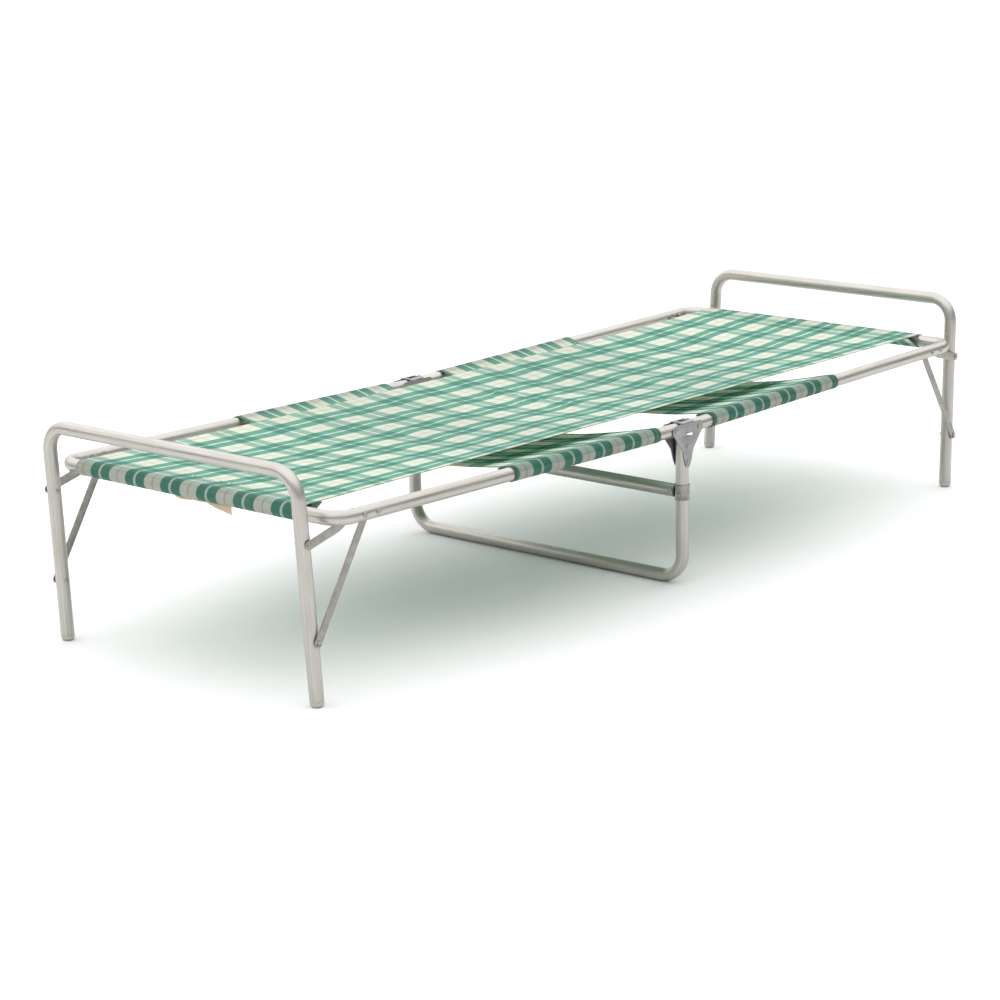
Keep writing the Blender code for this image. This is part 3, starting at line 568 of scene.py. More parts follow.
def lathe_mesh(name, profile, start, axis, sides=28):
    """A turned shape from (radius, distance along the axis) points; a radius of zero is a pole."""
    axis = Vector(axis).normalized()
    side = axis.orthogonal().normalized()
    other = axis.cross(side)
    work = bmesh.new()
    layer = work.verts.layers.float_vector.new("tube_place")
    rings = []
    for radius, along in profile:
        centre = Vector(start) + axis * along
        if radius == 0:
            pole = work.verts.new(centre)
            pole[layer] = (0.0, 0.0, along)
            rings.append([pole])
            continue
        ring = []
        for step in range(sides):
            turn = math.tau * step / sides
            spoke = side * math.cos(turn) + other * math.sin(turn)
            vertex = work.verts.new(centre + spoke * radius)
            vertex[layer] = (radius * math.cos(turn), radius * math.sin(turn), along)
            ring.append(vertex)
        rings.append(ring)
    for first, second in zip(rings, rings[1:] + ([rings[0]] if len(rings[0]) > 1 else [])):
        for step in range(sides):
            ahead = (step + 1) % sides
            corners = []
            for vertex in (first[step % len(first)], first[ahead % len(first)],
                           second[ahead % len(second)], second[step % len(second)]):
                if vertex not in corners:
                    corners.append(vertex)
            if len(corners) > 2:
                work.faces.new(corners)
    return mesh_from(name, work)


def plate_mesh(name, loops, thickness, y, bevel=0.00035):
    """A flat plate in the X-Z plane at a given Y, with softened edges; later loops are its holes."""
    curve = bpy.data.curves.new(name, "CURVE")
    curve.dimensions = "2D"
    curve.fill_mode = "BOTH"
    curve.extrude = thickness / 2 - bevel
    curve.bevel_depth = bevel
    curve.bevel_resolution = 2
    curve.offset = -bevel
    for loop in loops:
        spline = curve.splines.new("POLY")
        spline.points.add(len(loop) - 1)
        for point, (x, z) in zip(spline.points, loop):
            point.co = (x, z, 0.0, 1.0)
        spline.use_cyclic_u = True
    mesh = evaluated(bpy.data.objects.new(name, curve))
    mesh.transform(Matrix.Translation((0, y, 0)) @ Matrix.Rotation(math.radians(90), 4, "X"))
    work = bmesh.new()
    work.from_mesh(mesh)
    bmesh.ops.remove_doubles(work, verts=work.verts, dist=0.00002)
    bpy.data.meshes.remove(mesh)
    return mesh_from(name, work)


def joined(name, meshes):
    """Several meshes as one."""
    work = bmesh.new()
    for mesh in meshes:
        work.from_mesh(mesh)
        bpy.data.meshes.remove(mesh)
    return mesh_from(name, work)


# ---- Tubes --------------------------------------------------------------------------------------


def show_tube(name, node, corners, radius, body):
    made = new_piece(name, tube_mesh(node, corners, radius), ALUMINIUM)
    settle(made, body, "aluminium_tube", node)


def build_tubes():
    """The half frames, the end legs, the middle leg and its crossbar."""
    for end_name, end in ENDS.items():
        inner, outer = end * RAIL_STUB_X, end * RAIL_END_X
        corners = [Vector((inner, -RAIL_Y, rail_z(inner))), Vector((outer, -RAIL_Y, RAIL_END_Z)),
                   Vector((outer, RAIL_Y, RAIL_END_Z)), Vector((inner, RAIL_Y, rail_z(inner)))]
        node = end_name + "_half_frame"
        show_tube(node + "_tube", node, corners, FRAME_BEND, end_name + "_half")

        corners = [leg_point(end, -1, leg_low.z), leg_point(end, -1, LEG_TOP_Z),
                   leg_point(end, 1, LEG_TOP_Z), leg_point(end, 1, leg_low.z)]
        node = end_name + "_end_leg"
        show_tube(node + "_tube", node, corners, LEG_BEND, end_name + "_leg")

    top, low = middle_high.z, middle_low.z + TUBE_RADIUS
    corners = [Vector((0, RAIL_Y, top)), Vector((0, RAIL_Y, low)),
               Vector((0, -RAIL_Y, low)), Vector((0, -RAIL_Y, top))]
    show_tube("middle_leg_tube", "middle_leg", corners, MIDDLE_BEND, "center")

    height = (bar_low.z + bar_high.z) / 2
    ends = [Vector((0, bar_low.y, height)), Vector((0, bar_high.y, height))]
    show_tube("crossbar_tube", "middle_crossbar", ends, LEG_BEND, "center")


# ---- Rivets, plugs and collars ------------------------------------------------------------------

def dome(tall=HEAD_HEIGHT):
    """Half a rivet head's outline, from the pole out to the work: a dimple, a crown and a rolled rim."""
    dimple = DIMPLE * tall / HEAD_HEIGHT
    outline = [(0.0, tall - dimple), (CROWN_RADIUS * 0.625, tall - dimple * 0.7), (CROWN_RADIUS, tall)]
    steps = 6
    for step in range(1, steps + 1):
        turn = math.radians(90) * step / steps
        radius = CROWN_RADIUS + (HEAD_RADIUS - CROWN_RADIUS) * math.sin(turn)
        outline.append((radius, tall * math.cos(turn) ** 0.7 if step < steps else 0.0))
    return outline


def rivet_mesh(name, low, high, heads, spacer):
    """A rivet along the longest side of its box, with a head of the given height at each named end."""
    size = high - low
    axis_index = max(range(3), key=lambda k: size[k])
    axis = Vector((0, 0, 0))
    axis[axis_index] = 1.0
    centre = (low + high) / 2
    start = centre - axis * size[axis_index] / 2
    length = size[axis_index]
    profile = []
    if "low" in heads:
        tall = heads["low"]
        profile += [(radius, tall - height) for radius, height in dome(tall)]
        profile.append((STEM_RADIUS, tall))
    else:
        profile += [(0.0, 0.0), (STEM_RADIUS, 0.0)]
    if spacer:
        first, last = (place - start[axis_index] for place in spacer)
        profile += [(STEM_RADIUS, first), (SPACER_RADIUS, first),
                    (SPACER_RADIUS, last), (STEM_RADIUS, last)]
    if "high" in heads:
        tall = heads["high"]
        profile.append((STEM_RADIUS, length - tall))
        profile += [(radius, length - tall + height) for radius, height in reversed(dome(tall))]
    else:
        profile += [(STEM_RADIUS, length), (0.0, length)]
    return lathe_mesh(name, profile, start, axis, 24)


def build_rivets():
    """Each rivet stands where its node does; straps stand off their tubes on spacers."""
    bodies = frame["record"]["behaviour"]["bodies"]
    for body, members in bodies.items():
        for node in members:
            if "rivet" not in node:
                continue
            low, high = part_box(node)
            sign = 1 if (low.y + high.y) > 0 else -1
            spacer = None
            heads = {"low": HEAD_HEIGHT, "high": HEAD_HEIGHT}
            inner_end, outer_end = ("low", "high") if sign > 0 else ("high", "low")
            if node.endswith("_brace_rivet"):
                del heads[inner_end]
            elif node.endswith("_post_rivet"):
                del heads[outer_end]
            elif node.endswith("_brace_rail_rivet"):
                heads[inner_end] = FLAT_HEAD_HEIGHT
            if node.endswith("_link_rail_rivet"):
                strap_low, strap_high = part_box(node.replace("link_rail_rivet", "short_link"))
                outer = max(abs(strap_low.y), abs(strap_high.y)) + GAP
                spacer = (outer, RAIL_Y - TUBE_RADIUS - GAP)
            elif node.endswith("_link_leg_rivet"):
                strap_low, strap_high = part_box(node.replace("link_leg_rivet", "short_link"))
                centre = leg_point(1, 1, (low.z + high.z) / 2).y
                spacer = (centre + TUBE_RADIUS + GAP, min(abs(strap_low.y), abs(strap_high.y)) - GAP)
            elif node.endswith("_post_rivet"):
                centre = leg_point(1, 1, (low.z + high.z) / 2).y
                spacer = (centre + TUBE_RADIUS + GAP, max(abs(low.y), abs(high.y)))
            if spacer and sign < 0:
                spacer = (-spacer[1], -spacer[0])
            made = new_piece(node + "_turned", rivet_mesh(node, low, high, heads, spacer), RIVET, 50)
            settle(made, body, "rivet_metal", node)


def build_stop_rivets():
    """A short rivet on the bed-facing side of each end post, which the half frame rests against."""
    height = RAIL_END_Z + STOP_RIVET_RISE
    for end_name, end in ENDS.items():
        for side_name, side in SIDES.items():
            centre = leg_point(end, side, height)
            start = centre - Vector((end * (TUBE_RADIUS - STOP_RIVET_PROUD), 0, 0))
            profile = [(0.0, -0.002), (STEM_RADIUS, -0.002)]
            profile += [(radius, tall) for radius, tall in reversed(dome())]
            mesh = lathe_mesh("stop_rivet", profile, start, (-end, 0, 0), 24)
            made = new_piece(f"{end_name}_{side_name}_stop_rivet", mesh, RIVET, 50)
            settle(made, end_name + "_leg", "rivet_metal")


def build_plugs():
    """The moulded foot plugs: a chamfered tip below a rim as wide as the tube."""
    bore = TUBE_RADIUS - TUBE_WALL - GAP
    rim = TUBE_RADIUS - 0.0001
    shoulder = leg_low.z - GAP
    profile = [(0.0, 0.0), (0.0060, 0.0), (0.0082, 0.0003), (0.0096, 0.0012), (0.0114, 0.0034),
               (rim - 0.0002, 0.0047), (rim, 0.0058), (rim, shoulder - 0.0006),
               (rim - 0.0006, shoulder), (bore, shoulder), (bore, PLUG_DEPTH), (0.0, PLUG_DEPTH)]
    for end_name, end in ENDS.items():
        for side_name, side in SIDES.items():
            node = f"{end_name}_{side_name}_foot_plug"
            foot = leg_point(end, side, 0.0)
            axis = leg_point(end, side, 1.0) - foot
            made = new_piece(node + "_moulded", lathe_mesh(node, profile, foot, axis, 32), PLASTIC, 35)
            for vertex in made.data.vertices:
                vertex.co.z = max(vertex.co.z, 0.0)
            settle(made, end_name + "_leg", "foot_plastic", node)


def build_collars():
    """The pressed sleeve on each post, with a rolled rim at both ends, and the spigot in the bar."""
    for side_name, side in SIDES.items():
        node = side_name + "_collar"
        low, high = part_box(node)
        inner = TUBE_RADIUS + GAP
        outer = max(abs(low.y), abs(high.y)) - RAIL_Y
        half = (high.z - low.z) / 2
        roll = 0.0009
        sleeve = [(inner, -half), (outer, -half + 0.0004), (outer, -half + 0.0022),
                  (outer - roll / 2, -half + 0.0034), (outer - roll / 2, half - 0.0034),
                  (outer, half - 0.0022), (outer, half - 0.0004), (inner, half)]
        centre = Vector((0, side * RAIL_Y, (low.z + high.z) / 2))
        bore = TUBE_RADIUS - TUBE_WALL - GAP
        root = RAIL_Y - inner - 0.0008
        tip = min(abs(low.y), abs(high.y))
        spigot = [(0.0, tip), (bore - 0.001, tip), (bore, tip + 0.001), (bore, root), (0.0, root)]
        meshes = [lathe_mesh("sleeve", sleeve, centre, (0, 0, 1), 36),
                  lathe_mesh("spigot", spigot, (0, 0, centre.z), (0, side, 0), 28)]
        made = new_piece(node + "_pressed", joined(node, meshes), STEEL, 35)
        settle(made, "center", "zinc_steel", node)


# ---- Straps and brackets ------------------------------------------------------------------------


def strap_outline(start, finish, radius, steps=14):
    """Round-ended outline of a strap between two points in X and Z."""
    heading = math.atan2(finish.y - start.y, finish.x - start.x)
    return (arc(finish.x, finish.y, radius, heading - math.pi / 2, math.pi, steps)
            + arc(start.x, start.y, radius, heading + math.pi / 2, math.pi, steps))


def dog_leg_outline(start, elbow, finish, radius, steps=10):
    """Round-ended outline of a strap that runs through an elbow."""
    first = (elbow - start).normalized()
    second = (finish - elbow).normalized()
    normals = [Vector((-way.y, way.x)) for way in (first, second)]
    mitre = (normals[0] + normals[1]).normalized()
    reach = radius / mitre.dot(normals[0])
    ahead, back = math.atan2(second.y, second.x), math.atan2(first.y, first.x)
    outline = arc(finish.x, finish.y, radius, ahead - math.pi / 2, math.pi, steps)
    outline.append(tuple(elbow + mitre * reach))
    outline += arc(start.x, start.y, radius, back + math.pi / 2, math.pi, steps)
    outline.append(tuple(elbow - mitre * reach))
    return outline


def build_straps():
    """The short dog-leg links and the long braces, flat strip with rounded ends."""
    for end_name, end in ENDS.items():
        link_top = Vector((end * JOINTS["head_leg_fold"].x, JOINTS["head_leg_fold"].z))
        link_low = Vector((end * LINK_LEG.x, LINK_LEG.z))
        brace_top = Vector((end * JOINTS["head_brace_swing"].x, JOINTS["head_brace_swing"].z))
        low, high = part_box(end_name + "_left_post_rivet")
        brace_low = Vector(((low.x + high.x) / 2, (low.z + high.z) / 2))
        along = (link_low - link_top).normalized()
        inward = Vector((-end * abs(along.y), -abs(along.x)))
        elbow = link_top + along * ELBOW_ALONG + inward * ELBOW_INWARD
        outlines = {"short_link": dog_leg_outline(link_top, elbow, link_low, STRAP_WIDTH / 2),
                    "brace": strap_outline(brace_top, brace_low, STRAP_WIDTH / 2)}
        if end < 0:
            outlines["short_link"].reverse()
        bodies = {"short_link": end_name + "_links", "brace": end_name + "_braces"}
        for side_name in SIDES:
            for kind, outline in outlines.items():
                node = f"{end_name}_{side_name}_{kind}"
                low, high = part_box(node)
                mesh = plate_mesh(node, [outline], high.y - low.y, (low.y + high.y) / 2)
                made = new_piece(node + "_strip", mesh, STEEL, 30)
                settle(made, bodies[kind], "zinc_steel", node)


def bracket_outline(top, pivot_z, tip_z):
    """A hinge flap: a tab at the top, round shoulders at the two pivots and a taper to the tip."""
    waist_z = pivot_z - 0.0405
    half = [(TAB_REACH, top), (TAB_REACH + 0.001, pivot_z + SHOULDER)]
    half += arc(HINGE_X, pivot_z, SHOULDER, math.radians(90), math.radians(-120), 12)
    half += [(0.0165, waist_z), (0.0100, (waist_z + tip_z) / 2 - 0.004),
             (0.0055, tip_z + 0.003), (0.0040, tip_z + 0.0008), (0.0020, tip_z)]
    return half + [(-x, z) for x, z in reversed(half)]


def arched_slot(centre_z, steps=12):
    """The arched slot between a bracket's two pivots, with square ends."""
    outline = []
    for sign in (1, -1):
        outline += arc(0.0, centre_z, SLOT_RADIUS + sign * SLOT_HALF_WIDTH,
                       math.radians(90) + sign * SLOT_REACH, -2 * sign * SLOT_REACH, steps)
    return outline


def saddle_mesh(low_y, high_y, low_z, top_z):
    """The strip that folds over the rail, with rounded corners and a window in its top."""
    bend = 0.0030
    half = FLAP_THICKNESS / 2
    bend_z = top_z - half - bend
    path = [(low_y + half, low_z)]
    path += arc(low_y + half + bend, bend_z, bend, math.pi, -math.pi / 2, 6)
    path += arc(high_y - half - bend, bend_z, bend, math.pi / 2, -math.pi / 2, 6)
    path.append((high_y - half, low_z))
    corners = [(-SADDLE_REACH, 1), (SADDLE_REACH, 1), (SADDLE_REACH, -1), (-SADDLE_REACH, -1)]
    work = bmesh.new()
    rings = []
    for k, (y, z) in enumerate(path):
        before, after = path[max(k - 1, 0)], path[min(k + 1, len(path) - 1)]
        way = Vector((after[0] - before[0], after[1] - before[1])).normalized()
        normal = Vector((-way.y, way.x)) * half
        rings.append([work.verts.new((x, y + sign * normal.x, z + sign * normal.y))
                      for x, sign in corners])
    for first, second in zip(rings, rings[1:]):
        bridge(work, first, second)
    work.faces.new(rings[0])
    work.faces.new(rings[-1][::-1])
    body = bpy.data.objects.new("saddle", mesh_from("saddle", work))
    cut_work = bmesh.new()
    middle = (low_y + high_y) / 2
    place = Matrix.Translation((0, middle, top_z)) @ Matrix.Diagonal(
        (2 * WINDOW[0], 2 * WINDOW[1], 4 * FLAP_THICKNESS, 1))
    bmesh.ops.create_cube(cut_work, size=1.0, matrix=place)
    cutter = bpy.data.objects.new("window", mesh_from("window", cut_work))
    cut = body.modifiers.new("window", "BOOLEAN")
    cut.operation = "DIFFERENCE"
    cut.object = cutter
    return evaluated(body, cutter)


def build_brackets():
    """Two flaps and a saddle on each side of the middle hinge."""
    pivot_z = JOINTS["head_half_fold"].z
    for side_name, side in SIDES.items():
        node = side_name + "_hinge_bracket"
        low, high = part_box(node)
        flap_top = high.z - BEND_ROOM
        outline = bracket_outline(flap_top, pivot_z, low.z)
        slot = arched_slot(pivot_z - SLOT_DROP)
        outward = low.y if side < 0 else high.y
        inward = high.y if side < 0 else low.y
        half = side * FLAP_THICKNESS / 2
        meshes = [plate_mesh("outer", [outline, slot], FLAP_THICKNESS, outward - half),
                  plate_mesh("inner", [outline], FLAP_THICKNESS, inward + half),
                  saddle_mesh(low.y, high.y, flap_top - 0.0004, high.z)]
        made = new_piece(node + "_pressed", joined(node, meshes), BRACKET, 30)
        settle(made, "center", "zinc_steel", node)


# ---- Cloth --------------------------------------------------------------------------------------


def cloth_mesh(name, columns, rows, place, material_place, backed=None):
    """A sheet of quads from a function of its two shares, with its cut coordinates as a UV map."""
    vertices = [place(i / columns, j / rows) for j in range(rows + 1) for i in range(columns + 1)]
    faces = []
    for j in range(rows):
        for i in range(columns):
            first = j * (columns + 1) + i
            faces.append((first, first + 1, first + columns + 2, first + columns + 1))
    mesh = bpy.data.meshes.new(name)
    mesh.from_pydata([tuple(vertex) for vertex in vertices], [], faces)
    layer = mesh.uv_layers.new(name="cloth")
    for loop in mesh.loops:
        j, i = divmod(loop.vertex_index, columns + 1)
        layer.data[loop.index].uv = material_place(i / columns, j / rows)
    if backed is not None:
        backing = mesh.attributes.new("backing", "FLOAT", "POINT")
        for index in range(len(mesh.vertices)):
            backing.data[index].value = backed(index // (columns + 1) / rows)
    return mesh


def thicken(piece, thickness=CLOTH):
    """Gives a sheet its thickness, half on each side."""
    shell = piece.modifiers.new("thickness", "SOLIDIFY")
    shell.thickness = thickness
    shell.offset = 0.0
    shell.use_rim = True


SLEEVE = TUBE_RADIUS + SLEEVE_AIR + CLOTH / 2
BAND_MIDDLE_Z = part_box("foot_sling")[1].z - 2 * CLOTH
BAND_WRAP = math.radians(206)   # how far round the end tube the band goes
BAND_ROWS = (150, 26, 18)       # rows of quads in the open cloth, the wrap and the hem
PANEL_ROWS = (8, 28, 70)        # the same in a panel's hem, sleeve and web


def band_section(end):
    """The long band's middle line, from the hinge line out, round the end tube and back to its hem.

    Returns points (x, z) and the distance along the cloth at each, at close, even steps.
    """
    top_z = RAIL_END_Z + SLEEVE
    points = []
    open_rows, wrap_rows, hem_rows = BAND_ROWS
    for step in range(open_rows + 1):
        share = step / open_rows
        height = BAND_MIDDLE_Z + (top_z - BAND_MIDDLE_Z) * share
        points.append(Vector((end * share * RAIL_END_X, height)))
    points += [Vector((end * x, z)) for x, z in
               arc(RAIL_END_X, RAIL_END_Z, SLEEVE, math.radians(90), -BAND_WRAP, wrap_rows)[1:]]
    hem_x = end * (RAIL_END_X - SLEEVE - BAND_HEM)
    hem_share = abs(hem_x) / RAIL_END_X
    hem_z = BAND_MIDDLE_Z + (top_z - BAND_MIDDLE_Z) * hem_share - 2.2 * CLOTH
    last = points[-1]
    for step in range(1, hem_rows + 1):
        points.append(last.lerp(Vector((hem_x, hem_z)), step / hem_rows))
    lengths = [0.0]
    for first, second in zip(points, points[1:]):
        lengths.append(lengths[-1] + (second - first).length)
    return points, lengths


def ripple(x, y):
    """How far the band strays from flat: its sag, long waves, and crinkles over the hinge."""
    away = RAIL_END_X - abs(x)
    free = held(away / 0.10)
    wave = noise.noise(Vector((x * 7.0, y * 3.2, 0.3))) * LONG_WAVE
    wave += noise.noise(Vector((x * 22.0, y * 5.0, 4.1))) * SHORT_WAVE
    wave += math.sin(x * 52.0 + y * 9.0) * RIB
    crinkle = math.exp(-((x - 0.02) / 0.055) ** 2) * math.exp(-((y - 0.03) / 0.16) ** 2)
    wave += crinkle * noise.noise(Vector((x * 60.0, y * 38.0, 1.7))) * CRINKLE
    share = (y - BAND_Y[0]) / (BAND_Y[1] - BAND_Y[0])
    calm = 1 - abs(2 * share - 1) ** 5
    return free * calm * wave - band_sag(x, y)


def band_sag(x, y):
    """How far the band hangs below its ends: most near the middle, least at its taut right edge."""
    share = (y - BAND_Y[0]) / (BAND_Y[1] - BAND_Y[0])
    hang = BAND_SAG_LEFT * share + 3.0 * share * (1 - share)
    return BAND_SAG * hang * (1 - abs(x / RAIL_END_X) ** 4)


def weave_drift(x, y):
    """The stripes wander a little, because the cloth is stretched unevenly."""
    return (noise.noise(Vector((x * 4.5, y * 2.0, 7.7))) * 0.0034
            + noise.noise(Vector((x * 16.0, y * 6.0, 2.2))) * 0.0012)


def build_band():
    """The long band: two halves that meet over the hinge line, each with a sleeve at its end."""
    right, left = BAND_Y
    for end_name, end in ENDS.items():
        points, lengths = band_section(end)
        rows = len(points) - 1
        columns = 110

        def place(i_share, j_share):
            row = round(j_share * rows)
            x, z = points[row]
            y = right + (left - right) * i_share
            edge_pull = EDGE_PULL * (1 - (abs(x) / RAIL_END_X) ** 2) if abs(x) < RAIL_END_X else 0.0
            y += -edge_pull * (2 * i_share - 1)
            lift = ripple(x, y) if row <= BAND_ROWS[0] else 0.0
            return Vector((x, y, z + lift))

        def cut(i_share, j_share):
            row = round(j_share * rows)
            y = right + (left - right) * i_share
            x = points[row].x
            inside = min(y - right, left - y)
            drift = weave_drift(x, y) * min(1.0, inside / 0.03) * (1.0 if row <= BAND_ROWS[0] else 0.4)
            taut = 0.0
            if y < BOW_START_Y:
                held_x = min(abs(x), RAIL_END_X)
                taut = max(0.0, band_sag(held_x, BOW_START_Y) - band_sag(held_x, y))
            return (y + drift, end * lengths[row] + WEFT_BOW * taut + weave_drift(y + 3.0, x) * 0.5)

        # the backing share marks the cloth on the tube, which the cloth material darkens as painted
        # shade
        def backed(j_share):
            row = round(j_share * rows)
            return held((row - BAND_ROWS[0] + 2) / 3) * held((rows - 12 - row) / 6)

        mesh = cloth_mesh(end_name + "_band", columns, rows, place, cut, backed)
        made = new_piece(end_name + "_band_cloth", mesh, BAND_CLOTH, 60)
        thicken(made)
        start, finish = ((end * reach, 0, rail_z(0)) for reach in FOLD_REACH)
        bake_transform(made)
        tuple(start)
        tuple(finish)
        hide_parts(end_name + "_sling")


def panel_section():
    """A cross panel's middle line in Y and Z about the rail axes: hem, sleeve, web, sleeve, hem."""
    lean = math.atan(2 * PANEL_SAG / RAIL_Y)
    top_y = RAIL_Y - SLEEVE * math.sin(lean)
    top_z = SLEEVE * math.cos(lean)
    seam_y = RAIL_Y - PANEL_SEAM
    seam_z = top_z - CLOTH * 1.3 - PANEL_SAG * (1 - (seam_y / top_y) ** 2)
    leave = (math.atan2(seam_z, -PANEL_SEAM)
             + math.acos(SLEEVE / math.hypot(seam_z, PANEL_SEAM)) - math.tau)
    start = math.radians(90) + lean
    left = [(seam_y, seam_z)]
    below = (RAIL_Y + SLEEVE * math.cos(leave), SLEEVE * math.sin(leave))
    hem_rows, sleeve_rows, web_rows = PANEL_ROWS
    for step in range(1, hem_rows):
        share = step / hem_rows
        left.append((seam_y + (below[0] - seam_y) * share, seam_z + (below[1] - seam_z) * share))
    left += arc(RAIL_Y, 0.0, SLEEVE, leave, start - leave, sleeve_rows)
    web = []
    for step in range(1, web_rows):
        share = 1 - 2 * step / web_rows
        web.append((share * top_y, top_z - PANEL_SAG * (1 - share * share)))
    right = [(-y, z) for y, z in reversed(left)]
    return left + web + right


def build_cross_panels():
    """The two panels under the band, each with a sleeve round both side rails."""
    section = panel_section()
    lengths = [0.0]
    for first, second in zip(section, section[1:]):
        lengths.append(lengths[-1] + math.hypot(second[0] - first[0], second[1] - first[1]))
    middle_length = lengths[-1] / 2
    last_row = len(section) - 1
    before_web = PANEL_ROWS[0] + PANEL_ROWS[1]
    reach = RAIL_Y - TUBE_RADIUS - 0.006
    low_x, high_x = PANEL_X
    width = high_x - low_x
    for end_name, end in ENDS.items():
        centre_x = end * (low_x + high_x) / 2

        def waist(y):
            return PANEL_WAIST * (1 - (y / reach) ** 2) if abs(y) < reach else 0.0

        def place(i_share, j_share):
            row = round(j_share * last_row)
            y, z = section[row]
            share = 2 * i_share - 1
            on_web = before_web < row < last_row - before_web
            x = centre_x + share * (width / 2 - (waist(y) if on_web else 0.0))
            lift = 0.0
            if on_web:
                near = 1 - (y / RAIL_Y) ** 2
                lift = noise.noise(Vector((x * 26, y * 4.5, 5.0 + end))) * 0.0040 * near
                lift += abs(share) ** 6 * 0.0020 * near
            return Vector((x, y, rail_z(x) + z + lift))

        def cut(i_share, j_share):
            row = round(j_share * last_row)
            share = 2 * i_share - 1
            y = section[row][0]
            drift = noise.noise(Vector((share * 5, y * 5, 9.0 + end))) * 0.0016
            return (share * (width / 2 - waist(y) * 0.35) + drift, lengths[row] - middle_length)

        # the backing share marks the sleeve cloth on the rail, which the cloth material darkens as
        # painted shade
        def backed(j_share):
            inward = min(j_share, 1 - j_share) * last_row
            return held((inward - 4) / 4) * held((before_web + 2 - inward) / 3)

        mesh = cloth_mesh(end_name + "_panel", 90, last_row, place, cut, backed)
        made = new_piece(end_name + "_panel_cloth", mesh, PANEL_CLOTH, 60)
        thicken(made)
        settle(made, end_name + "_half", "plaid_cloth", end_name + "_cross_panel")


def add_thread(work, start, away, reach, droop):
    """A thin thread that leaves a point along X and Y, bends down and tapers."""
    steps, sides = 6, 5
    rings = []
    for step in range(steps + 1):
        share = step / steps
        centre = start + Vector((away[0] * share, away[1] * share, -droop * share * share)) * reach
        spokes = arc(0.0, 0.0, FRAY_THICKNESS * (1 - 0.6 * share), 0.0, math.tau, sides)[:-1]
        rings.append([work.verts.new(centre + Vector((0, y, z))) for y, z in spokes])
    for first, second in zip(rings, rings[1:]):
        bridge(work, first, second)
    work.faces.new(rings[0][::-1])
    work.faces.new(rings[-1])


def build_fray():
    """Loose threads at the cut ends of the panel sleeves, drooping from the side rails."""
    for end_name, end in ENDS.items():
        work = bmesh.new()
        for side in SIDES.values():
            for edge, outward in zip(PANEL_X, (-1, 1)):
                for k in range(FRAYED):
                    seed = Vector((edge * 31 + k * 1.7, side * 5.3, end * 2.9))
                    turn = math.radians(100 - 31 * k + 12 * noise.noise(seed))
                    x = end * (edge + outward * 0.0004)
                    start = Vector((x, side * (RAIL_Y + SLEEVE * math.cos(turn)),
                                    rail_z(x) + SLEEVE * math.sin(turn)))
                    reach = 0.0045 + 0.0050 * abs(noise.noise(seed * 1.9))
                    droop = 0.35 + 0.5 * abs(noise.noise(seed * 3.1))
                    add_thread(work, start, (end * outward, side * 0.25), reach, droop)
        made = new_piece(end_name + "_frayed_threads", mesh_from("fray", work), FRAY, 60)
        settle(made, end_name + "_half", "plaid_cloth")


def build_tag():
    """The torn tag under the sleeve at the foot end, with frayed lower edges."""
    low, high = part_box("sewn_label")
    x = (low.x + high.x) / 2
    width = high.y - low.y
    drop = high.z - low.z

    def hang(share):
        """How much of the tag is left at a share of its width, from its right end to its left."""
        body = 1.0 - 0.75 * min(1.0, share / TAG_TEAR)
        if TAG_TEAR < share < 0.68:
            body = 0.16
        if share >= 0.68:
            body = 0.30 * math.sin(math.pi * (share - 0.66) / 0.36) ** 0.5
        return max(0.10, body + 0.06 * noise.noise(Vector((share * 30, 0, 0))))

    def place(i_share, j_share):
        y = low.y + width * i_share
        z = high.z - drop * hang(i_share) * j_share
        curl = 0.0010 * math.sin(i_share * 19) * j_share
        return Vector((x + curl, y, z))

    mesh = cloth_mesh("tag", 60, 8, place, lambda i, j: (i * width, j * drop))
    made = new_piece("torn_tag", mesh, TAG, 60)
    thicken(made, TAG_THICKNESS)
    settle(made, "foot_half", "label_cloth", "sewn_label")


# ---- Stage, light and camera --------------------------------------------------------------------


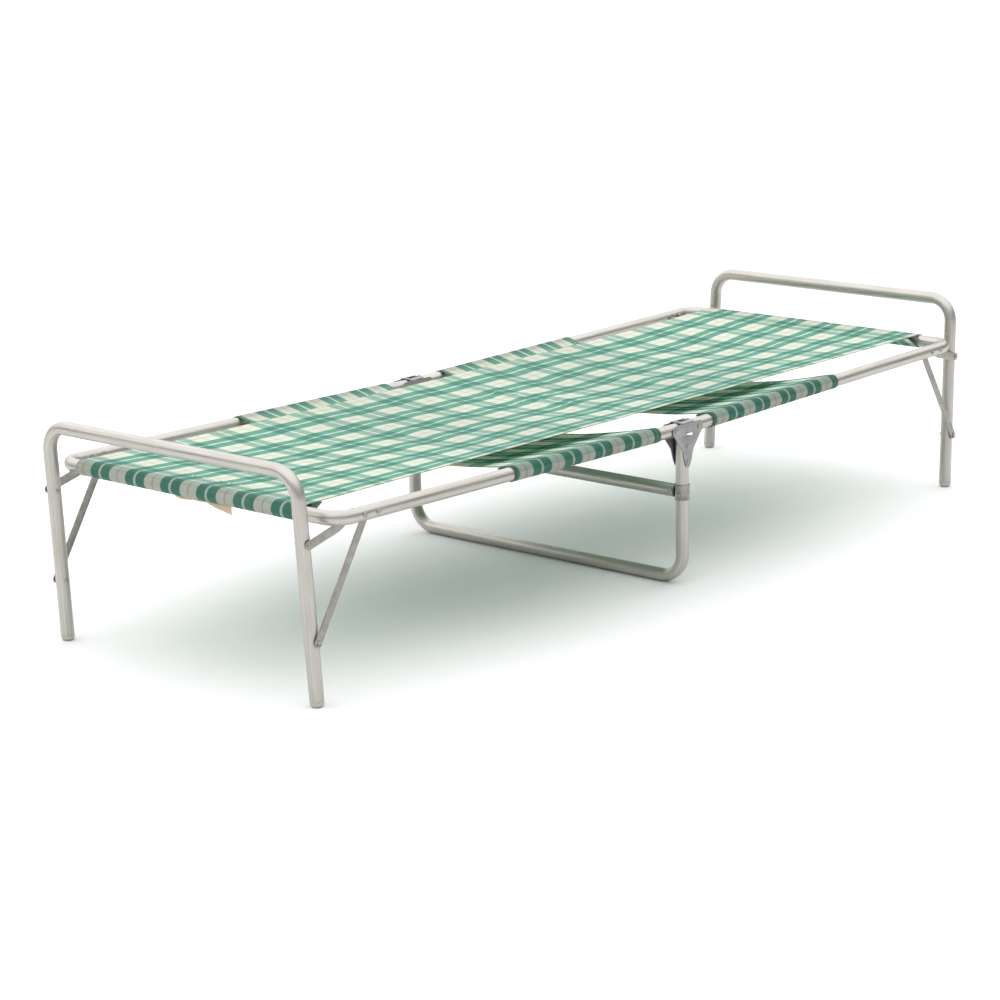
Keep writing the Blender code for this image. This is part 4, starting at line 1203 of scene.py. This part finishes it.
def build_stage():
    """A pale floor, a big soft light above and a room that is darker near the horizon."""
    bpy.ops.mesh.primitive_plane_add(size=60.0)
    floor = bpy.context.object
    floor.name = "floor"
    pale = bpy.data.materials.new("pale_floor")
    pale.use_nodes = True
    shader = pale.node_tree.nodes["Principled BSDF"]
    shader.inputs["Base Color"].default_value = (0.90, 0.90, 0.90, 1)
    shader.inputs["Roughness"].default_value = 0.9
    floor.data.materials.append(pale)

    world = bpy.data.worlds.new("studio")
    bpy.context.scene.world = world
    world.use_nodes = True
    nodes, links = world.node_tree.nodes, world.node_tree.links
    sky = nodes["Background"]
    direction = nodes.new("ShaderNodeTexCoord")
    split = nodes.new("ShaderNodeSeparateXYZ")
    ramp = nodes.new("ShaderNodeValToRGB")
    links.new(direction.outputs["Generated"], split.inputs[0])
    links.new(split.outputs[2], ramp.inputs[0])
    links.new(ramp.outputs[0], sky.inputs["Color"])
    stops = ((0.0, (0.20, 0.19, 0.18, 1)), (0.14, (0.24, 0.23, 0.22, 1)),
             (0.36, (0.60, 0.60, 0.60, 1)), (0.62, (1.0, 1.0, 1.0, 1)))
    ramp.color_ramp.elements.remove(ramp.color_ramp.elements[1])
    ramp.color_ramp.elements[0].position, ramp.color_ramp.elements[0].color = stops[0]
    for position, shade in stops[1:]:
        ramp.color_ramp.elements.new(position).color = shade
    sky.inputs["Strength"].default_value = 0.78

    data = bpy.data.lights.new("overhead", "SUN")
    data.angle = math.radians(135)
    data.energy = 2.65
    lamp = bpy.data.objects.new("overhead", data)
    bpy.context.scene.collection.objects.link(lamp)
    lamp.location = (0.2, 0.9, 3.0)
    lamp.rotation_euler = (-lamp.location).to_track_quat("-Z", "Y").to_euler()


def build_camera():
    """The camera, low at the foot end's right corner, with a long lens."""
    place = Vector((-4.1946, -3.6020, 1.4997))
    yaw, pitch, roll = (math.radians(angle) for angle in (41.552, -14.033, -1.215))
    forward = Vector((math.cos(pitch) * math.cos(yaw), math.cos(pitch) * math.sin(yaw), math.sin(pitch)))
    level = Vector((math.sin(yaw), -math.cos(yaw), 0))
    upward = level.cross(forward)
    right = level * math.cos(roll) + upward * math.sin(roll)
    up = upward * math.cos(roll) - level * math.sin(roll)
    data = bpy.data.cameras.new("camera")
    data.lens = 102.79
    data.sensor_width = 36.0
    data.clip_end = 100.0
    camera = bpy.data.objects.new("camera", data)
    bpy.context.scene.collection.objects.link(camera)
    turn = Matrix((right, up, -forward)).transposed().to_4x4()
    camera.matrix_world = Matrix.Translation(place) @ turn
    bpy.context.scene.camera = camera


# ---- Everything ---------------------------------------------------------------------------------

build_camera()
build_stage()
build_tubes()
build_rivets()
build_stop_rivets()
build_plugs()
build_collars()
build_straps()
build_brackets()
build_band()
build_cross_panels()
build_fray()
build_tag()

bpy.context.scene.view_settings.view_transform = "Standard"
